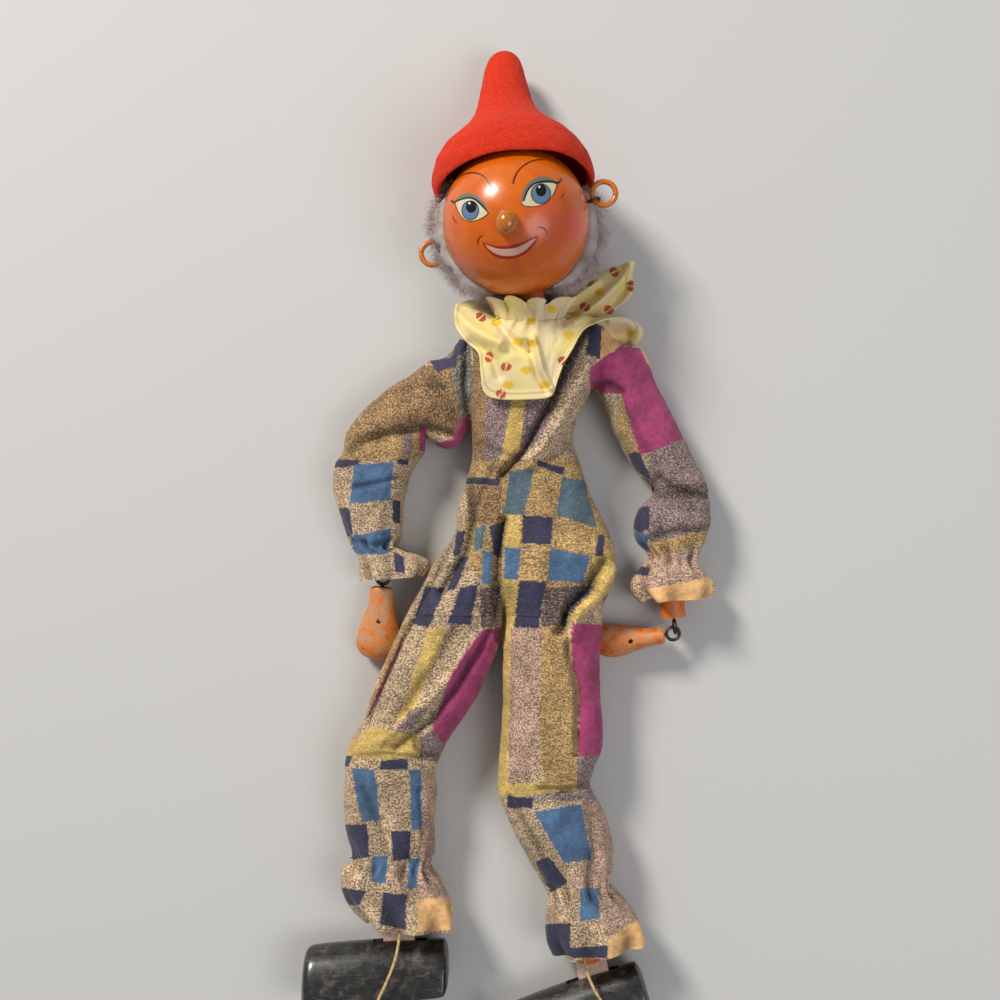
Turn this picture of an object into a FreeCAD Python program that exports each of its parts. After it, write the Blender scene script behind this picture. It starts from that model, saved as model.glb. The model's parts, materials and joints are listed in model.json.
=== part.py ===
import FreeCAD, Part

import math
import os

# A small string puppet: a painted ball head, a felt hat, turned wooden limbs
# linked by screw eyes, wooden shoes on leather tongues, all in a loose cotton suit.
# It lies on its back, as stored. +Y points to the head, +Z away from the table.
# All sizes are in millimetres.

Vec = FreeCAD.Vector
UP = Vec(0, 0, 1)

# Frame: the origin is under the middle of the whole figure, on the table.
frame_shift = Vec(0.213, 11.041, 0.0)

# Screw eyes and the wire rings between two of them
eye_radius = 2.1
eye_wire = 0.55
eye_stem = 0.4
eye_shank = 5.0
link_radius = 2.4
wire_play = 0.2
wire_pass = 2 * eye_wire + wire_play

# Head
head_centre = Vec(1.9, 93.6, 27.0)
head_radius = 22.5
head_bands = 15
neck_turn = 12.9
neck_drop = 17.3
neck_radius = 4.0
neck_start = 16.0
neck_end = 27.5
neck_rounding = 0.8
nose_radius = 3.4
nose_turn = Vec(-0.128, -0.225, 0.966)
nose_reach = 23.3
nose_bands = 7

# Ears: a thick ring hanging in a small screw eye on each side
ear_ring_radius = 3.6
ear_ring_wire = 0.85
ear_eye_radius = 1.6
ear_eye_wire = 0.45
ear_eye_shank = 4.0
ear_play = 0.15

# Hat: a felt cone with a bonnet-like foot, pressed a little from front to back
hat_centre = head_centre + Vec(0.0, 10.2, -3.0)
hat_tilt = 18.6
hat_turn = 4.5
hat_squash = 0.9
felt = 1.6
hat_outline = [(24.2, 0.0), (24.9, 5.3), (23.4, 11.0), (18.3, 18.8), (12.4, 25.4),
               (8.3, 33.4), (6.4, 41.5), (4.6, 46.8), (2.6, 50.0)]
hat_height = 51.0

# Hair: a thick roll of wool round the back of the head
hair_thickness = 7.6
hair_start = 6.0
hair_steps = 13
hair_gap = 0.7
hair_lump = 0.16
hair_lump_step = 3.9

# Wooden trunk blocks
chest_centre = Vec(10.0, 43.0, 11.5)
chest_width = 25.0
chest_height = 26.0
chest_depth = 15.0
chest_waist_width = 16.0
pelvis_top_x = 9.0
pelvis_middle_height = 10.0
pelvis_turn = 262.1
pelvis_height = 36.0
pelvis_top_width = 17.0
pelvis_bottom_width = 32.0
pelvis_depth = 14.0
block_rounding = 2.5

# Arms
arm_height = 8.0
shoulder_line = 52.0
arm_radius = 4.0
upper_arm_length = 41.0
forearm_length = 48.0
hand_length = 24.0
hand_wrist_width = 7.6
hand_width = 14.5
hand_thickness = 9.5
hand_droop = 4.33
string_hole_radius = 0.8
string_hole_share = 0.46
hole_reach = 15.0

# Legs
leg_height = 10.0
hip_spacing = 10.8
thigh_radius = 5.0
shin_radius = 5.4
thigh_length = 56.0
shin_length = 71.0

# Shoes: distance along the toe, top above the nail, height and width
shoe_stations = [(-15.4, 3.6, 11.0, 13.0), (-13.6, 6.0, 15.7, 17.0), (2.0, 6.0, 17.6, 18.0),
                 (18.0, 5.0, 19.6, 19.4), (28.0, 4.0, 20.6, 20.0), (30.6, 1.5, 16.5, 16.0)]
shoe_section = [(0.0, 0.08), (0.0, 0.92), (0.16, 1.0), (0.48, 0.97), (0.78, 0.84),
                (0.95, 0.66), (1.0, 0.5), (0.95, 0.34), (0.78, 0.16), (0.48, 0.03),
                (0.16, 0.0)]
shoe_middle = 10.0
shoe_nail_depth = 6.0
slot_length = 17.0
slot_width = 2.6
slot_depth_below = 6.6
nail_radius = 0.7
nail_length = 12.0
nail_play = 0.06
tongue_width = 10.0
tongue_thickness = 2.0
tongue_below = 4.5
tongue_seat = 7.0
shin_end_gap = 10.5
shin_rounding = 1.8

# Twine: distance up the leg from the nail, distance to its right, height
twine_radius = 0.45
twine_corners = 6
twine_points = {
    "left": [(21.6, 0.3, 12.6), (20.6, 0.2, 16.6), (14.5, -1.6, 18.0), (6.0, -0.5, 21.2),
             (-1.5, 2.6, 21.5), (-9.0, 6.8, 21.3)],
    "right": [(20.8, 0.5, 12.4), (19.6, 0.4, 16.6), (13.0, 2.4, 18.0), (5.0, 0.8, 21.2),
              (-2.5, -2.4, 21.5), (-9.0, -2.0, 21.3)],
}

# Cloth: middle of each station, half its width, its lowest and highest point
cloth = 0.8
seam_gap = 0.35
trunk_stations = [(7.3, 58.3, 19.0, 1.0, 22.0), (7.4, 53.0, 21.6, 0.0, 23.5),
                  (7.4, 49.0, 21.6, 0.0, 24.0), (6.3, 38.5, 20.2, 0.0, 23.5),
                  (4.6, 27.2, 17.6, 0.0, 20.5)]
hip_stations = [(4.6, 26.8, 17.6, 0.0, 20.5), (5.0, 17.6, 20.9, 0.0, 20.5),
                (5.8, 4.8, 24.9, 0.0, 22.0), (5.5, -8.0, 27.8, 0.0, 23.5),
                (2.1, -20.0, 29.0, 0.0, 24.0), (0.2, -32.0, 28.2, 0.0, 22.0)]
sleeve_stations = {
    "left": [(-14.9, 42.8, 13.8, 0.0, 15.5), (-22.5, 40.0, 13.8, 0.0, 16.0),
             (-30.4, 35.0, 13.2, 0.0, 15.5), (-42.0, 25.0, 13.0, 0.0, 15.5),
             (-44.5, 8.0, 11.0, 0.0, 15.5), (-42.9, -4.9, 8.6, 0.0, 15.0),
             (-41.4, -11.6, 7.0, 0.6, 14.6), (-38.9, -17.1, 10.0, 0.0, 16.5)],
    "right": [(29.7, 46.6, 11.6, 0.0, 15.5), (36.0, 42.4, 11.6, 0.0, 16.0),
              (41.1, 35.4, 11.5, 0.0, 15.5), (47.3, 20.9, 10.8, 0.0, 15.5),
              (53.1, 4.8, 12.0, 0.0, 15.5), (52.9, -6.5, 11.0, 0.0, 15.0),
              (53.0, -13.6, 7.4, 0.6, 14.6), (51.9, -23.2, 13.4, 0.0, 16.5)],
}
trouser_stations = {
    "left": [(-14.4, -32.4, 13.8, 0.0, 21.0), (-20.2, -42.0, 13.0, 0.0, 21.0),
             (-30.4, -57.0, 13.4, 0.0, 20.0), (-36.8, -72.5, 14.5, 0.0, 20.5),
             (-38.0, -88.5, 14.8, 0.0, 19.5), (-38.0, -104.6, 13.4, 0.0, 19.5),
             (-37.4, -113.6, 11.0, 0.6, 20.6), (-37.2, -122.3, 16.5, 0.0, 23.0),
             (-37.0, -128.4, 17.0, 0.0, 23.0)],
    "right": [(13.4, -32.4, 12.4, 0.0, 21.0), (12.0, -43.0, 12.4, 0.0, 21.0),
              (13.2, -57.0, 15.4, 0.0, 20.0), (13.7, -75.7, 16.7, 0.0, 20.5),
              (14.4, -88.5, 16.5, 0.0, 19.5), (18.2, -101.4, 14.8, 0.0, 19.5),
              (22.0, -115.6, 11.0, 0.6, 20.6), (26.4, -130.0, 15.0, 0.0, 23.0),
              (29.0, -138.2, 13.0, 0.0, 23.0)],
}
first_turn = {"sleeve": {"left": 180.0, "right": 0.0}, "trouser": {"left": 270.0, "right": 270.0}}
cloth_section = [(-0.70, 0.0), (0.0, 0.0), (0.70, 0.0), (1.0, 0.25), (0.95, 0.62),
                 (0.74, 0.90), (0.46, 0.86), (0.18, 1.0), (-0.14, 0.91), (-0.46, 0.99),
                 (-0.78, 0.85), (-0.97, 0.55), (-1.0, 0.22)]

# Collar: its free edge, from the left tip down over the chest and up to the right tip
collar_edge = [(-16.6, 69.5, 13.0), (-17.5, 61.0, 13.0), (-13.0, 51.5, 24.6),
               (-7.0, 42.0, 25.6), (2.5, 40.0, 27.6), (12.0, 41.0, 25.8), (18.5, 47.5, 27.2),
               (26.0, 55.0, 24.4), (37.0, 58.0, 15.5), (41.0, 66.0, 12.5), (40.0, 75.0, 9.0),
               (37.5, 82.0, 9.5), (27.0, 72.5, 6.5), (15.0, 66.5, 3.2), (3.0, 66.0, 3.2),
               (-8.0, 68.0, 6.0)]
collar_middle = Vec(8.6, 63.2, 17.6)
collar_hole = 6.6
collar_cloth = 1.2
collar_rise = 1.6

# Directions of the limbs as they lie, in degrees from +X, seen from above
upper_arm_turn = {"left": 207.7, "right": -62.0}
forearm_turn = {"left": 277.5, "right": -83.8}
hand_turn = {"left": 265.3, "right": 189.8}
thigh_turn = {"left": 237.3, "right": 269.6}
shin_turn = {"left": 273.6, "right": 281.9}
shoe_turn = {"left": 180.0, "right": 196.0}
sides = ("left", "right")
outward = {"left": -1.0, "right": 1.0}


def flat_direction(turn):
    """A level unit vector at this turn from +X, in degrees."""
    return Vec(math.cos(math.radians(turn)), math.sin(math.radians(turn)), 0)


def across(along):
    """The level direction to the right of this one."""
    return along.cross(UP).normalize()


def eye_face(pivot, along, into_parent=False):
    """Where the wood starts behind a screw eye that shares this pivot.

    The pivot is the middle of the outermost wire of the first of two linked eyes.
    """
    if into_parent:
        return pivot - along * (2 * eye_radius + eye_wire + eye_stem)
    return pivot + along * (2 * eye_radius - wire_pass + eye_wire + eye_stem)


def skinned(rings, joined_up=False):
    """A solid skinned over rings of points, flat at both ends or joined end to end."""
    faces = []
    pairs = list(zip(rings, rings[1:]))
    if joined_up:
        pairs.append((rings[-1], rings[0]))
    for near, far in pairs:
        faces.extend(band(near, far))
    if not joined_up:
        for ring in (rings[0], rings[-1]):
            faces.append(Part.Face(Part.makePolygon(ring + ring[:1])))
    return solid_of(faces)


def band(near, far):
    """Flat faces between two rings of the same count."""
    faces = []
    for index in range(len(near)):
        after = (index + 1) % len(near)
        faces.append(flat_face(near[index], near[after], far[after]))
        faces.append(flat_face(near[index], far[after], far[index]))
    return faces


def flat_face(*corners):
    return Part.Face(Part.makePolygon(list(corners) + [corners[0]]))


def solid_of(faces):
    solid = Part.Solid(Part.Shell(faces))
    if solid.Volume < 0:
        solid.reverse()
    return solid


def wire_ring(centre, normal, radius, wire, steps=12):
    """A ring of bent wire, its section a hexagon."""
    side = normal.cross(Vec(0.31, 0.59, 0.74)).normalize()
    front = normal.cross(side).normalize()
    rings = []
    for index in range(steps):
        turn = 2 * math.pi * index / steps
        out = side * math.cos(turn) + front * math.sin(turn)
        middle = centre + out * radius
        section = []
        for corner in range(6):
            lean = math.radians(60 * corner)
            section.append(middle + out * wire * math.cos(lean)
                           + normal * wire * math.sin(lean))
        rings.append(section)
    return skinned(rings, True)


def wire_stem(start, end, normal, wire):
    """A straight length of the same wire."""
    along = (end - start).normalize()
    side = along.cross(normal).normalize()
    rings = []
    for middle in (start, end):
        section = []
        for corner in range(6):
            lean = math.radians(60 * corner + 30)
            section.append(middle + (side * math.cos(lean) + normal * math.sin(lean)) * wire)
        rings.append(section)
    return skinned(rings)


def screw_eye(face, out, normal, radius=eye_radius, wire=eye_wire, shank=eye_shank):
    """A ring on a stem: face is where it leaves the wood, out is its way out."""
    centre = face + out * (eye_stem + wire + radius)
    ring = wire_ring(centre, normal, radius, wire)
    stem = wire_stem(face - out * shank, face + out * (eye_stem + wire), normal, wire * 0.96)
    return ring.fuse(stem)


def turned_peg(start, end, radius, rounding=0.0):
    """A dowel, turned with a taper at its far end if it has a rounding."""
    along = (end - start).normalize()
    out = across(along)
    outline = [start, start + out * radius, end - along * rounding + out * radius]
    if rounding:
        outline.append(end + out * (radius - rounding))
    outline.append(end)
    return flat_face(*outline).revolve(start, along, 360)


def bored(wood, *fittings):
    """Wood with the seats of its fittings cut out of it."""
    for fitting in fittings:
        wood = wood.cut(fitting)
    return wood


def round_ball(centre, radius, bands):
    """A ball built up in narrow bands of flat faces."""
    rings = []
    for index in range(bands + 1):
        lean = math.pi * (index + 0.12 * (1 - 2 * index / bands)) / bands
        ring = []
        for corner in range(2 * bands):
            turn = math.pi * corner / bands
            ring.append(centre + Vec(math.sin(lean) * math.cos(turn),
                                     math.sin(lean) * math.sin(turn), math.cos(lean)) * radius)
        rings.append(ring)
    return skinned(rings)


# Head

def neck_direction():
    """From the ball's centre down the neck dowel."""
    turn = math.radians(neck_turn)
    drop = math.radians(neck_drop)
    return Vec(math.sin(turn) * math.cos(drop), -math.cos(turn) * math.cos(drop),
               -math.sin(drop))


def neck_side():
    """The level direction across the neck, to the right."""
    return across(-neck_direction())


def neck_front():
    return neck_side().cross(-neck_direction()).normalize()


def head_eye_face():
    return head_centre + neck_direction() * neck_end


def neck_nod_point():
    """Middle of the link's upper wire, on which the head's eye nods."""
    reach = 2 * eye_radius + eye_wire + eye_stem - wire_pass
    return head_eye_face() + neck_direction() * reach


def neck_tilt_point():
    """Middle of the chest eye's outermost wire, on which the link tilts."""
    return neck_nod_point() + neck_direction() * (2 * link_radius - wire_pass)


def chest_neck_face():
    return neck_tilt_point() + neck_direction() * (2 * eye_radius + eye_wire + eye_stem)


def head_screw_eyes():
    neck_eye = screw_eye(head_eye_face(), neck_direction(), neck_side())
    ears = [ear_eye(side) for side in sides]
    return neck_eye, ears


ear_turn = {"left": 195.0, "right": 15.0}
ear_lift = {"left": -6.0, "right": 1.0}
ear_ring_turn = {"left": 240.0, "right": 50.0}


def ear_face(side):
    lift = ear_lift[side]
    reach = math.sqrt(head_radius ** 2 - lift ** 2)
    return head_centre + flat_direction(ear_turn[side]) * reach + UP * lift


def ear_pivot(side):
    """Middle of the ear eye's outermost wire, which the ear ring turns on."""
    out = flat_direction(ear_turn[side])
    return ear_face(side) + out * (eye_stem + ear_eye_wire + 2 * ear_eye_radius)


def ear_eye(side):
    out = flat_direction(ear_turn[side])
    return screw_eye(ear_face(side), out, out.cross(UP), ear_eye_radius, ear_eye_wire,
                     ear_eye_shank)


def ear_ring(side):
    """A split ring whose ends meet at the point farthest from its eye."""
    out = flat_direction(ear_ring_turn[side])
    offset = ear_ring_radius - ear_ring_wire - ear_eye_wire - ear_play
    return wire_ring(ear_pivot(side) + out * offset, UP, ear_ring_radius, ear_ring_wire)


def nose_bead():
    bead = round_ball(head_centre + nose_turn * nose_reach, nose_radius, nose_bands)
    return bead.cut(round_ball(head_centre, head_radius, head_bands))


def neck_dowel(eye):
    along = neck_direction()
    peg = turned_peg(head_centre + along * neck_start, head_centre + along * neck_end,
                     neck_radius, neck_rounding)
    return bored(peg, eye)


def head_ball(ears):
    ball = round_ball(head_centre, head_radius, head_bands)
    bore = turned_peg(head_centre + neck_direction() * neck_start,
                      head_centre + neck_direction() * (neck_end + 1.0), neck_radius)
    return bored(ball, bore, *ears)


def hat_shell(inset, corners=16):
    """The hat's outline as stacked rings, moved inwards by inset."""
    rings = []
    for radius, height in hat_outline:
        ring = []
        for corner in range(corners):
            lean = 2 * math.pi * (corner + 0.5) / corners
            across_half = max(radius - inset, 0.6)
            ring.append(Vec(across_half * math.cos(lean),
                            across_half * hat_squash * math.sin(lean), height - inset))
        rings.append(ring)
    return skinned(rings)


def hat_placement():
    stand = FreeCAD.Rotation(Vec(1, 0, 0), -90 - hat_tilt)
    turn = FreeCAD.Rotation(UP, hat_turn)
    return FreeCAD.Placement(hat_centre, turn.multiply(stand))


def hat():
    felt_cone = hat_shell(0.0).cut(hat_shell(felt))
    felt_cone.Placement = hat_placement()
    return felt_cone


def over_brim():
    """The space above the hat's brim, which the hair keeps out of."""
    space = Part.makeBox(90, 90, 70, Vec(-45, -45, -0.3))
    space.Placement = hat_placement()
    return space


def hair(ears):
    """A thick roll of wool from ear to ear round the back, lumpy, flat on the table."""
    rings = []
    for index in range(hair_steps):
        turn = math.radians(hair_start + (180 - 2 * hair_start) * index / (hair_steps - 1))
        out = Vec(math.cos(turn), 0, -math.sin(turn))
        lump = 1.0 + hair_lump * math.cos(hair_lump_step * index)
        section = []
        for corner in range(4):
            lean = math.radians(-38 + 22 * corner)
            section.append(head_centre + (out * math.cos(lean) + Vec(0, math.sin(lean), 0))
                           * (head_radius + hair_gap))
        for corner in range(5):
            lean = math.radians(30 - 21 * corner)
            reach = head_radius + hair_thickness * lump * (1.0 - 0.12 * abs(corner - 2))
            section.append(head_centre + (out * math.cos(lean) + Vec(0, math.sin(lean), 0))
                           * reach)
        rings.append(section)
    under_table = Part.makeBox(120, 120, 60, Vec(-60, 30, -60))
    reach = 2 * ear_ring_radius + 0.5
    slots = []
    for side in sides:
        low = ear_pivot(side) - UP * (ear_ring_wire + 0.4)
        slots.append(Part.makeCylinder(reach, 2 * ear_ring_wire + 0.8, low, UP))
    return bored(skinned(rings), under_table, over_brim(), *(slots + ears))


# Trunk blocks

def tapered_block(top_middle, bottom_middle, top_width, bottom_width, depth):
    """A wooden block, wider at one end, with its edges cut off."""
    side = across(bottom_middle - top_middle)
    corners = [top_middle - side * top_width / 2, top_middle + side * top_width / 2,
               bottom_middle + side * bottom_width / 2,
               bottom_middle - side * bottom_width / 2]
    corners = [corner - UP * depth / 2 for corner in corners]
    block = flat_face(*corners).extrude(UP * depth)
    return block.makeChamfer(block_rounding, block.Edges)


def chest_top():
    return chest_centre + Vec(0, chest_height / 2, 0)


def chest_bottom():
    return chest_centre - Vec(0, chest_height / 2, 0)


def waist_point():
    """Middle of the chest eye's lowest wire, on which the pelvis bows."""
    return chest_bottom() - Vec(0, 2 * eye_radius + eye_wire + eye_stem, 0)


def pelvis_top_middle():
    face = eye_face(waist_point(), Vec(0, -1, 0))
    return Vec(pelvis_top_x, face.y, pelvis_middle_height)


def pelvis_bottom_middle():
    return pelvis_top_middle() + flat_direction(pelvis_turn) * pelvis_height


def shoulder_point(side):
    """Middle of the shoulder eye's outermost wire."""
    out = Vec(outward[side], 0, 0)
    face_x = chest_centre.x + out.x * chest_width / 2
    face = Vec(face_x, shoulder_line, arm_height)
    return face + out * (2 * eye_radius + eye_wire + eye_stem)


def hip_point(side):
    down = flat_direction(pelvis_turn)
    face = pelvis_bottom_middle() - across(down) * outward[side] * hip_spacing
    face.z = leg_height
    return face + down * (2 * eye_radius + eye_wire + eye_stem)


def chest_screw_eyes():
    neck = screw_eye(chest_neck_face(), -neck_direction(), neck_side())
    waist = screw_eye(eye_face(waist_point(), Vec(0, -1, 0), True), Vec(0, -1, 0), UP)
    shoulders = []
    for side in sides:
        out = Vec(outward[side], 0, 0)
        face = eye_face(shoulder_point(side), out, True)
        shoulders.append(screw_eye(face, out, Vec(0, 1, 0)))
    return [neck, waist] + shoulders


def pelvis_screw_eyes():
    down = flat_direction(pelvis_turn)
    face = eye_face(waist_point(), down)
    eyes = [screw_eye(face, -down, across(down))]
    for side in sides:
        face = eye_face(hip_point(side), down, True)
        eyes.append(screw_eye(face, down, across(down)))
    return eyes


def chest_block(eyes):
    block = tapered_block(chest_top(), chest_bottom(), chest_width, chest_waist_width,
                          chest_depth)
    return bored(block, *eyes)


def pelvis_block(eyes):
    block = tapered_block(pelvis_top_middle(), pelvis_bottom_middle(), pelvis_top_width,
                          pelvis_bottom_width, pelvis_depth)
    return bored(block, *eyes)


# Limbs

def link_ring(pivot, along):
    """The wire ring that joins a trunk eye to a limb eye, lying level."""
    centre = pivot + along * (link_radius - wire_pass)
    return wire_ring(centre, UP, link_radius, eye_wire)


def link_end(pivot, along):
    """Middle of the ring's outer wire, on which the limb's eye swings."""
    return pivot + along * (2 * link_radius - wire_pass)


def limb(near_pivot, far_pivot, radius, near_normal, far_normal):
    """A dowel between two pivots and the eye at each of its ends."""
    along = (far_pivot - near_pivot).normalize()
    start = eye_face(near_pivot, along)
    end = eye_face(far_pivot, along, True)
    eyes = [screw_eye(start, -along, near_normal), screw_eye(end, along, far_normal)]
    return bored(turned_peg(start, end, radius), *eyes), eyes


def arm_points(side):
    """Pivots of one arm: shoulder eye, link end, elbow, wrist."""
    along = flat_direction(upper_arm_turn[side])
    shoulder = shoulder_point(side)
    swing = link_end(shoulder, along)
    elbow = swing + along * upper_arm_length
    wrist = elbow + flat_direction(forearm_turn[side]) * forearm_length
    return shoulder, swing, elbow, wrist


def leg_points(side):
    """Pivots of one leg: hip eye, link end, knee, ankle nail."""
    along = flat_direction(thigh_turn[side])
    hip = hip_point(side)
    swing = link_end(hip, along)
    knee = swing + along * thigh_length
    ankle = knee + flat_direction(shin_turn[side]) * shin_length
    return hip, swing, knee, ankle


def oval(centre, along, half_width, half_height, corners=12):
    """A ring of points on an oval, square to this direction."""
    side = across(along)
    ring = []
    for corner in range(corners):
        lean = 2 * math.pi * corner / corners
        ring.append(centre + side * half_width * math.cos(lean)
                    + UP * half_height * math.sin(lean))
    return ring


def hand(side):
    """A club-shaped hand: slim at the wrist, broad and rounded at the end."""
    along = flat_direction(hand_turn[side])
    face = eye_face(arm_points(side)[3], along)
    eye = screw_eye(face, -along, UP)
    slim = hand_wrist_width / 2
    broad = hand_width / 2
    thick = hand_thickness / 2
    stations = [(0.0, slim * 0.86, slim * 0.86), (1.0, slim, slim), (7.0, slim * 1.1, slim),
                (13.0, broad * 0.86, thick * 0.9), (18.0, broad, thick),
                (22.2, broad * 0.72, thick * 0.74), (hand_length, broad * 0.3, thick * 0.3)]
    rings = []
    for distance, half_width, half_height in stations:
        sink = UP * (hand_droop * distance / hand_length)
        middle = face + along * distance - sink
        rings.append(oval(middle, along, half_width, half_height))
    hole = Part.makeCylinder(string_hole_radius, 2 * hole_reach,
                             hand_hole(side) - UP * hole_reach, UP)
    return bored(skinned(rings), hole, eye), eye


def hand_hole(side):
    along = flat_direction(hand_turn[side])
    face = eye_face(arm_points(side)[3], along)
    return face + along * (hand_length * string_hole_share)


# Feet

def shoe_frame(side):
    """Ankle nail, direction to the toe and direction up the leg."""
    toe = flat_direction(shoe_turn[side])
    return leg_points(side)[3], toe, across(toe)


def shoe(side):
    """A tapered half-round log lying on its side, slotted for the tongue and nailed."""
    ankle, toe, rise = shoe_frame(side)
    rings = []
    for reach, top, tall, wide in shoe_stations:
        ring = []
        for up_share, wide_share in shoe_section:
            middle = shoe_middle + (wide_share - 0.5) * wide
            ring.append(Vec(ankle.x, ankle.y, middle) + toe * reach
                        + rise * (top - tall * (1 - up_share)))
        rings.append(ring)
    slot_corner = ankle - toe * slot_length / 2 - rise * slot_depth_below
    slot_corner.z = leg_height - slot_width / 2
    slot = Part.makeBox(slot_length, shoe_nail_depth + slot_depth_below + 3.0, slot_width)
    turn = FreeCAD.Rotation(UP, shoe_turn[side] + 180)
    slot.Placement = FreeCAD.Placement(slot_corner + toe * slot_length, turn)
    return bored(skinned(rings), slot, ankle_pin(side))


def ankle_pin(side):
    """The nail across the slot."""
    ankle = leg_points(side)[3]
    return Part.makeCylinder(nail_radius, nail_length,
                             Vec(ankle.x, ankle.y, leg_height - nail_length / 2), UP)


def tongue(side):
    """A leather strip, let into the sawn end of the shin and hung on the nail."""
    ankle = leg_points(side)[3]
    along = flat_direction(shin_turn[side])
    half = across(along) * tongue_width / 2
    top = ankle - along * (shin_end_gap + tongue_seat)
    bottom = ankle + along * tongue_below
    corners = [top - half, top + half, bottom + half, bottom - half]
    corners = [corner - UP * tongue_thickness / 2 for corner in corners]
    strip = flat_face(*corners).extrude(UP * tongue_thickness)
    hole = Part.makeCylinder(nail_radius + nail_play, 2 * hole_reach,
                             ankle - UP * hole_reach, UP)
    return strip.cut(hole)


def shin(side, tongue_strip):
    """The lower leg's dowel, with an eye at the knee and the tongue at its end."""
    knee, ankle = leg_points(side)[2:]
    along = flat_direction(shin_turn[side])
    face = eye_face(knee, along)
    eye = screw_eye(face, -along, UP)
    wood = turned_peg(face, ankle - along * shin_end_gap, shin_radius, shin_rounding)
    return bored(wood, eye, tongue_strip, twine(side)), eye


# Twine left on the shins

def twine_route(side):
    """The points that one length of twine turns at, seen from the leg's own line."""
    ankle = leg_points(side)[3]
    along = flat_direction(shin_turn[side])
    points = []
    for back, out, height in twine_points[side]:
        point = ankle - along * back + across(along) * out
        point.z = height
        points.append(point)
    return points


def twine(side):
    """Straight runs joined by tangent arcs, each arc as large as its runs allow."""
    points = twine_route(side)
    edges = []
    start = points[0]
    for before, corner, after in zip(points, points[1:], points[2:]):
        into = (corner - before).normalize()
        away = (after - corner).normalize()
        cut_back = 0.45 * min((corner - before).Length, (after - corner).Length)
        bend = into.getAngle(away)
        radius = cut_back / math.tan(bend / 2)
        print("twine", side, "bend radius", round(radius, 1))
        arc_start = corner - into * cut_back
        arc_end = corner + away * cut_back
        inward = (away - into).normalize()
        centre = corner + inward * (radius / math.cos(bend / 2))
        arc_middle = centre - inward * radius
        edges.append(Part.makeLine(start, arc_start))
        edges.append(Part.Arc(arc_start, arc_middle, arc_end).toShape())
        start = arc_end
    edges.append(Part.makeLine(start, points[-1]))
    path = Part.Wire(edges)
    along = (points[1] - points[0]).normalize()
    corners = []
    for corner in range(twine_corners):
        lean = 2 * math.pi * corner / twine_corners
        side_way = Vec(1, 0, 0) * math.cos(lean) + along.cross(Vec(1, 0, 0)) * math.sin(lean)
        corners.append(points[0] + side_way.normalize() * twine_radius)
    section = Part.makePolygon(corners + corners[:1])
    tube = path.makePipeShell([section], True, False)
    section_area = Part.Face(section).Area
    print("twine", side, "length", round(path.Length, 1), "volume ratio",
          round(tube.Volume / (path.Length * section_area), 3))
    return tube


# Suit

def station_turns(stations, first=None):
    """The way the cloth runs at each station, in degrees from +X."""
    turns = []
    for index in range(len(stations)):
        before = stations[max(index - 1, 0)]
        after = stations[min(index + 1, len(stations) - 1)]
        turns.append(math.degrees(math.atan2(after[1] - before[1], after[0] - before[0])))
    if first is not None:
        turns[0] = first
    return turns


def cloth_ring(station, turn, inset, shift=0.0):
    """One cross-section of a garment, upright and across its run."""
    x, y, half_width, low, high = station
    along = flat_direction(turn)
    side = across(along)
    middle = Vec(x, y, 0) + along * shift
    ring = []
    for out, rise in cloth_section:
        height = low + inset + rise * (high - low - 2 * inset)
        ring.append(middle + side * out * (half_width - inset) + UP * height)
    return ring


def cloth_tube(stations, turns, gap=0.0):
    """A hollow length of garment, its first end drawn back by the gap."""
    outer = []
    inner = []
    last = len(stations) - 1
    for index, station in enumerate(stations):
        start_gap = gap if index == 0 else 0.0
        overrun = -0.3 if index == 0 else 0.3 if index == last else 0.0
        outer.append(cloth_ring(station, turns[index], 0.0, start_gap))
        inner.append(cloth_ring(station, turns[index], cloth, start_gap + overrun))
    return skinned(outer).cut(skinned(inner))


def arm_hole(side):
    """The opening in the trunk cloth that the arm comes through."""
    station = sleeve_stations[side][0]
    turn = first_turn["sleeve"][side]
    return skinned([cloth_ring(station, turn, 1.6, -8.0), cloth_ring(station, turn, 1.6, 4.0)])


def suit_chest():
    tube = cloth_tube(trunk_stations, [270.0] * len(trunk_stations))
    return bored(tube, arm_hole("left"), arm_hole("right"))


def suit_hips():
    return cloth_tube(hip_stations, [270.0] * len(hip_stations))


def sleeve(side):
    """Sleeve over the shoulder, over the elbow, and its gathered cuff."""
    stations = sleeve_stations[side]
    turns = station_turns(stations, first_turn["sleeve"][side])
    upper = cloth_tube(stations[:3], turns[:3], seam_gap)
    lower = cloth_tube(stations[2:6], turns[2:6], seam_gap)
    cuff = cloth_tube(stations[5:], turns[5:], seam_gap)
    return upper, lower, cuff


def trouser(side):
    """Trouser leg over the hip, over the knee, and its gathered cuff."""
    stations = trouser_stations[side]
    turns = station_turns(stations, first_turn["trouser"][side])
    thigh = cloth_tube(stations[:3], turns[:3], seam_gap)
    shin_part = cloth_tube(stations[2:6], turns[2:6], seam_gap)
    cuff = cloth_tube(stations[5:], turns[5:], seam_gap)
    return thigh, shin_part, cuff


def collar():
    """A gathered collar flung forward over the chest, open round the neck."""
    axis = neck_direction()
    edges = [Vec(*point) for point in collar_edge]
    rings = []
    for index, edge in enumerate(edges):
        away = edge - collar_middle
        away = (away - axis * away.dot(axis)).normalize()
        inner = collar_middle + away * collar_hole
        along = edges[(index + 1) % len(edges)] - edges[index - 1]
        face_out = (edge - inner).cross(along).normalize()
        middle = (inner + edge) * 0.5 + face_out * collar_rise
        thick = face_out * collar_cloth
        rings.append([inner, middle, edge, edge + thick, middle + thick, inner + thick])
    return skinned(rings, True)


# All pieces by name

def neck_link():
    centre = neck_nod_point() + neck_direction() * link_radius
    return wire_ring(centre, neck_front(), link_radius, eye_wire)


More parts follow.
